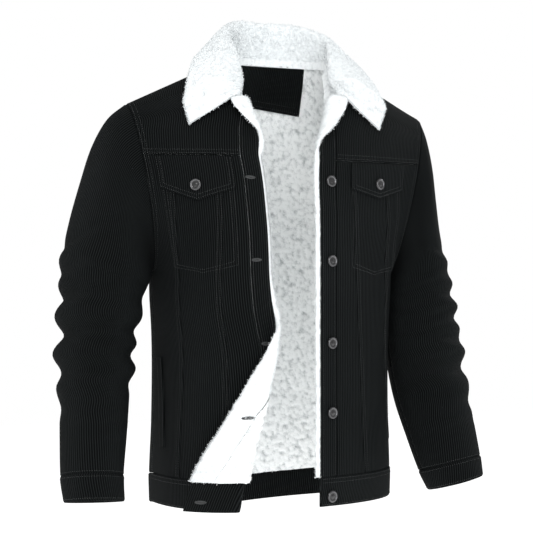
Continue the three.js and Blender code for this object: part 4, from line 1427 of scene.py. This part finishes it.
def buttonhole(name, front, at, out, thread):
    """A worked buttonhole: a slit with close stitches all round it."""
    count, long, high = 44, 15.0, 2.2
    turns = np.arange(count) * 2 * math.pi / count
    points, faces = [], []
    bulge = np.where(np.arange(count) % 2 == 0, 1.0, 0.75)
    for radius, lift in ((0.28, 0.15), (0.62, 0.95), (1.0, 0.75), (1.18, 0.0)):
        x = 21.5 + (long / 2) * np.cos(turns) * (0.86 + 0.14 * radius)
        z = high * np.sin(turns) * radius
        points.append(front.place(x - 1.5, at + z / HEIGHT, out[0] + out[1] * lift * bulge))
    rings = np.concatenate(points)
    faces = [list(map(int, f)) for f in quads(4, count, 0, True)]
    # a near-black face closes the slit, as painted shade in its opening
    slit = len(faces)
    faces.append(list(range(count)))
    obj = make_object(name, rings, faces, [thread, finish("slit")])
    obj.data.polygons[slit].material_index = 1


# Operators

class JacketSizes(bpy.types.PropertyGroup):
    """Sizes and colours of the jacket's cloth and sewing"""

    wale: FloatProperty(name="Wale", description="Pitch of the corduroy's wales in millimetres",
                        default=3.4, min=1, max=8)
    stitch: FloatProperty(name="Stitch", description="Length of a topstitch in millimetres",
                          default=3.2, min=1.5, max=6)
    pile_step: FloatProperty(name="Pile step", description="Fineness of the pile in millimetres",
                             default=2.4, min=1.5, max=6)
    # valley is the painted shade in the corduroy's furrows, ridge the painted sheen on its wales' tops
    valley: FloatVectorProperty(name="Corduroy between wales", description="Colour in the furrows",
                                subtype="COLOR", default=(0.0008, 0.0011, 0.0012), min=0, max=1)
    ridge: FloatVectorProperty(name="Corduroy on wales", description="Colour on the wales' tops",
                               subtype="COLOR", default=(0.0128, 0.0151, 0.0153), min=0, max=1)
    sherpa: FloatVectorProperty(name="Sherpa", description="Colour of the collar and facings",
                                subtype="COLOR", default=(0.87, 0.9, 0.91), min=0, max=1)


class JACKET_OT_fronts(bpy.types.Operator):
    """Cut both fronts: placket, three panels and yoke"""

    bl_idname = "jacket.fronts"
    bl_label = "Fronts"

    def execute(self, context):
        for side in FRONTS:
            front_panels(side)
            seam_stitches(side)
        return {"FINISHED"}


class JACKET_OT_back(bpy.types.Operator):
    """Cut the back"""

    bl_idname = "jacket.back"
    bl_label = "Back"

    def execute(self, context):
        back_piece()
        back_stitches()
        return {"FINISHED"}


class JACKET_OT_waistband(bpy.types.Operator):
    """Sew the waistband on"""

    bl_idname = "jacket.waistband"
    bl_label = "Waistband"

    def execute(self, context):
        waistband()
        band_stitches()
        return {"FINISHED"}


class JACKET_OT_sleeves(bpy.types.Operator):
    """Set both sleeves in, with their cuffs"""

    bl_idname = "jacket.sleeves"
    bl_label = "Sleeves and cuffs"

    def execute(self, context):
        for side in SLEEVES:
            sleeve(side)
            sleeve_stitches(side)
        return {"FINISHED"}


class JACKET_OT_lining(bpy.types.Operator):
    """Line fronts and back with sherpa, and face the front edges"""

    bl_idname = "jacket.lining"
    bl_label = "Lining and facings"

    def execute(self, context):
        step = context.scene.jacket_sizes.pile_step
        for side in FRONTS:
            lining_front(side, step)
            facing(side, step)
        lining_back(step)
        return {"FINISHED"}


class JACKET_OT_collar(bpy.types.Operator):
    """Fold the sherpa collar and set the patch inside the neck"""

    bl_idname = "jacket.collar"
    bl_label = "Collar and neck patch"

    def execute(self, context):
        collar(context.scene.jacket_sizes.pile_step * 0.85)
        neck_patch()
        return {"FINISHED"}


class JACKET_OT_pockets(bpy.types.Operator):
    """Sew the flaps and welts on"""

    bl_idname = "jacket.pockets"
    bl_label = "Pocket flaps and welts"

    def execute(self, context):
        for side in FRONTS:
            pocket(side)
        return {"FINISHED"}


class JACKET_OT_buttons(bpy.types.Operator):
    """Put the buttons on and work the buttonholes"""

    bl_idname = "jacket.buttons"
    bl_label = "Buttons and buttonholes"

    def execute(self, context):
        for i, at in enumerate(FRONT_BUTTONS):
            out = BAND_OUT + 0.3 if at < BAND_TOP else 1.1
            add_button(f"button_{i + 1}", FRONTS["left"], BUTTON_INSET, at, out)
            band = at < BAND_TOP
            inside = BAND_OUT - BAND_WALL - 0.1 if band else LINING_IN - 0.8
            outside = BAND_OUT + 0.1 if band else 0.6
            buttonhole(f"buttonhole_{i + 1}_outside", FRONTS["right"], at, (outside, 0.9),
                       finish("thread"))
            buttonhole(f"buttonhole_{i + 1}_inside", FRONTS["right"], at, (inside, -0.9),
                       finish("thread"))
        for side, flap in FLAPS.items():
            add_button(f"flap_button_{side}", FRONTS[side], (flap["start"] + flap["end"]) / 2,
                       flap["tip"] + FLAP_BUTTON_UP, 3.5)
        return {"FINISHED"}


class JACKET_OT_stage(bpy.types.Operator):
    """Set up the floor, the lights and the camera"""

    bl_idname = "jacket.stage"
    bl_label = "Stage"

    def execute(self, context):
        floor_and_lights()
        camera()
        return {"FINISHED"}


FLOOR = -1.25
CAMERA = {"place": (-0.824, -2.040, -0.375), "turn": 22, "lens": 99.06,
          "aim": (-11.5, 43.5, 1466.7)}  # the way it looks, right, up and ahead, in pixels
LIGHTS = [
    # name, place, size, power, colour
    ("key", (-1.5, -2.5, 1.3), 1.1, 35, (1.0, 0.99, 0.98)),
    ("fill", (-0.2, -2.8, 0.1), 1.6, 29, (0.97, 0.985, 1.0)),
    ("left_rim", (-2.2, 1.2, 0.8), 1.0, 16, (1, 1, 1)),
    ("right_rim", (2.3, 1.0, 0.8), 1.0, 20, (1, 1, 1)),
]
BACKDROP_LIGHT = 0.55


def floor_and_lights():
    scene = bpy.context.scene
    mesh = bpy.data.meshes.new("floor")
    mesh.from_pydata([(-9, -9, FLOOR), (9, -9, FLOOR), (9, 9, FLOOR), (-9, 9, FLOOR)], [],
                     [(0, 1, 2, 3)])
    shader = Shader("floor", Roughness=0.9, Emission_Strength=0.62)
    shader.main.inputs["Emission Color"].default_value = (1, 1, 1, 1)
    body = shader.node("ShaderNodeTexCoord", {}, {}).outputs["Object"]
    shader.feed(shader.main.inputs["Base Color"],
                shader.blend(shader.noise(body, 3.0), (0.9, 0.9, 0.9), (0.93, 0.93, 0.93)))
    mesh.materials.append(shader.material)
    floor = bpy.data.objects.new("floor", mesh)
    scene.collection.objects.link(floor)
    for name, place, size, power, shown in LIGHTS:
        light = bpy.data.lights.new(name, "AREA")
        light.energy, light.size, light.color = power, size, shown
        lamp = bpy.data.objects.new(name, light)
        lamp.location = place
        lamp.rotation_euler = (Vector((0, 0, -0.35)) - Vector(place)).to_track_quat("-Z", "Y").to_euler()
        scene.collection.objects.link(lamp)
    world = bpy.data.worlds.new("studio")
    world.use_nodes = True
    tree = world.node_tree
    background = tree.nodes["Background"]
    background.inputs["Color"].default_value = (1, 1, 1, 1)
    # the backdrop looks white, and lights the jacket more softly than that
    seen = tree.nodes.new("ShaderNodeLightPath").outputs["Is Camera Ray"]
    strength = tree.nodes.new("ShaderNodeMapRange")
    strength.inputs["To Min"].default_value = BACKDROP_LIGHT
    tree.links.new(seen, strength.inputs["Value"])
    tree.links.new(strength.outputs["Result"], background.inputs["Strength"])
    scene.world = world
    scene.view_settings.view_transform = "Standard"


def camera():
    scene = bpy.context.scene
    data = bpy.data.cameras.new("camera")
    data.lens, data.sensor_width = CAMERA["lens"], 36
    obj = bpy.data.objects.new("camera", data)
    obj.location = CAMERA["place"]
    turn = math.radians(CAMERA["turn"])
    ahead = Vector((math.sin(turn), math.cos(turn), 0))
    right = Vector((math.cos(turn), -math.sin(turn), 0))
    across, up, depth = CAMERA["aim"]
    way = ahead * depth + right * across + Vector((0, 0, up))
    obj.rotation_euler = way.to_track_quat("-Z", "Y").to_euler()
    scene.collection.objects.link(obj)
    scene.camera = obj


OPERATORS = (JACKET_OT_fronts, JACKET_OT_back, JACKET_OT_waistband, JACKET_OT_sleeves,
             JACKET_OT_lining, JACKET_OT_collar, JACKET_OT_pockets, JACKET_OT_buttons,
             JACKET_OT_stage)


class JACKET_PT_panel(bpy.types.Panel):
    """The jacket's sizes and the operators that build it"""

    bl_idname = "JACKET_PT_panel"
    bl_label = "Jacket"
    bl_space_type = "VIEW_3D"
    bl_region_type = "UI"
    bl_category = "Jacket"

    def draw(self, context):
        sizes = context.scene.jacket_sizes
        for name in ("wale", "stitch", "pile_step", "valley", "ridge", "sherpa"):
            self.layout.prop(sizes, name)
        for operator in OPERATORS:
            self.layout.operator(operator.bl_idname)


CLASSES = (JacketSizes, *OPERATORS, JACKET_PT_panel)


def register():
    for each in CLASSES:
        bpy.utils.register_class(each)
    bpy.types.Scene.jacket_sizes = PointerProperty(type=JacketSizes)


def unregister():
    del bpy.types.Scene.jacket_sizes
    for each in reversed(CLASSES):
        bpy.utils.unregister_class(each)


def main():
    register()
    for operator in OPERATORS:
        group, name = operator.bl_idname.split(".")
        getattr(getattr(bpy.ops, group), name)()


if __name__ == "__main__":
    main()
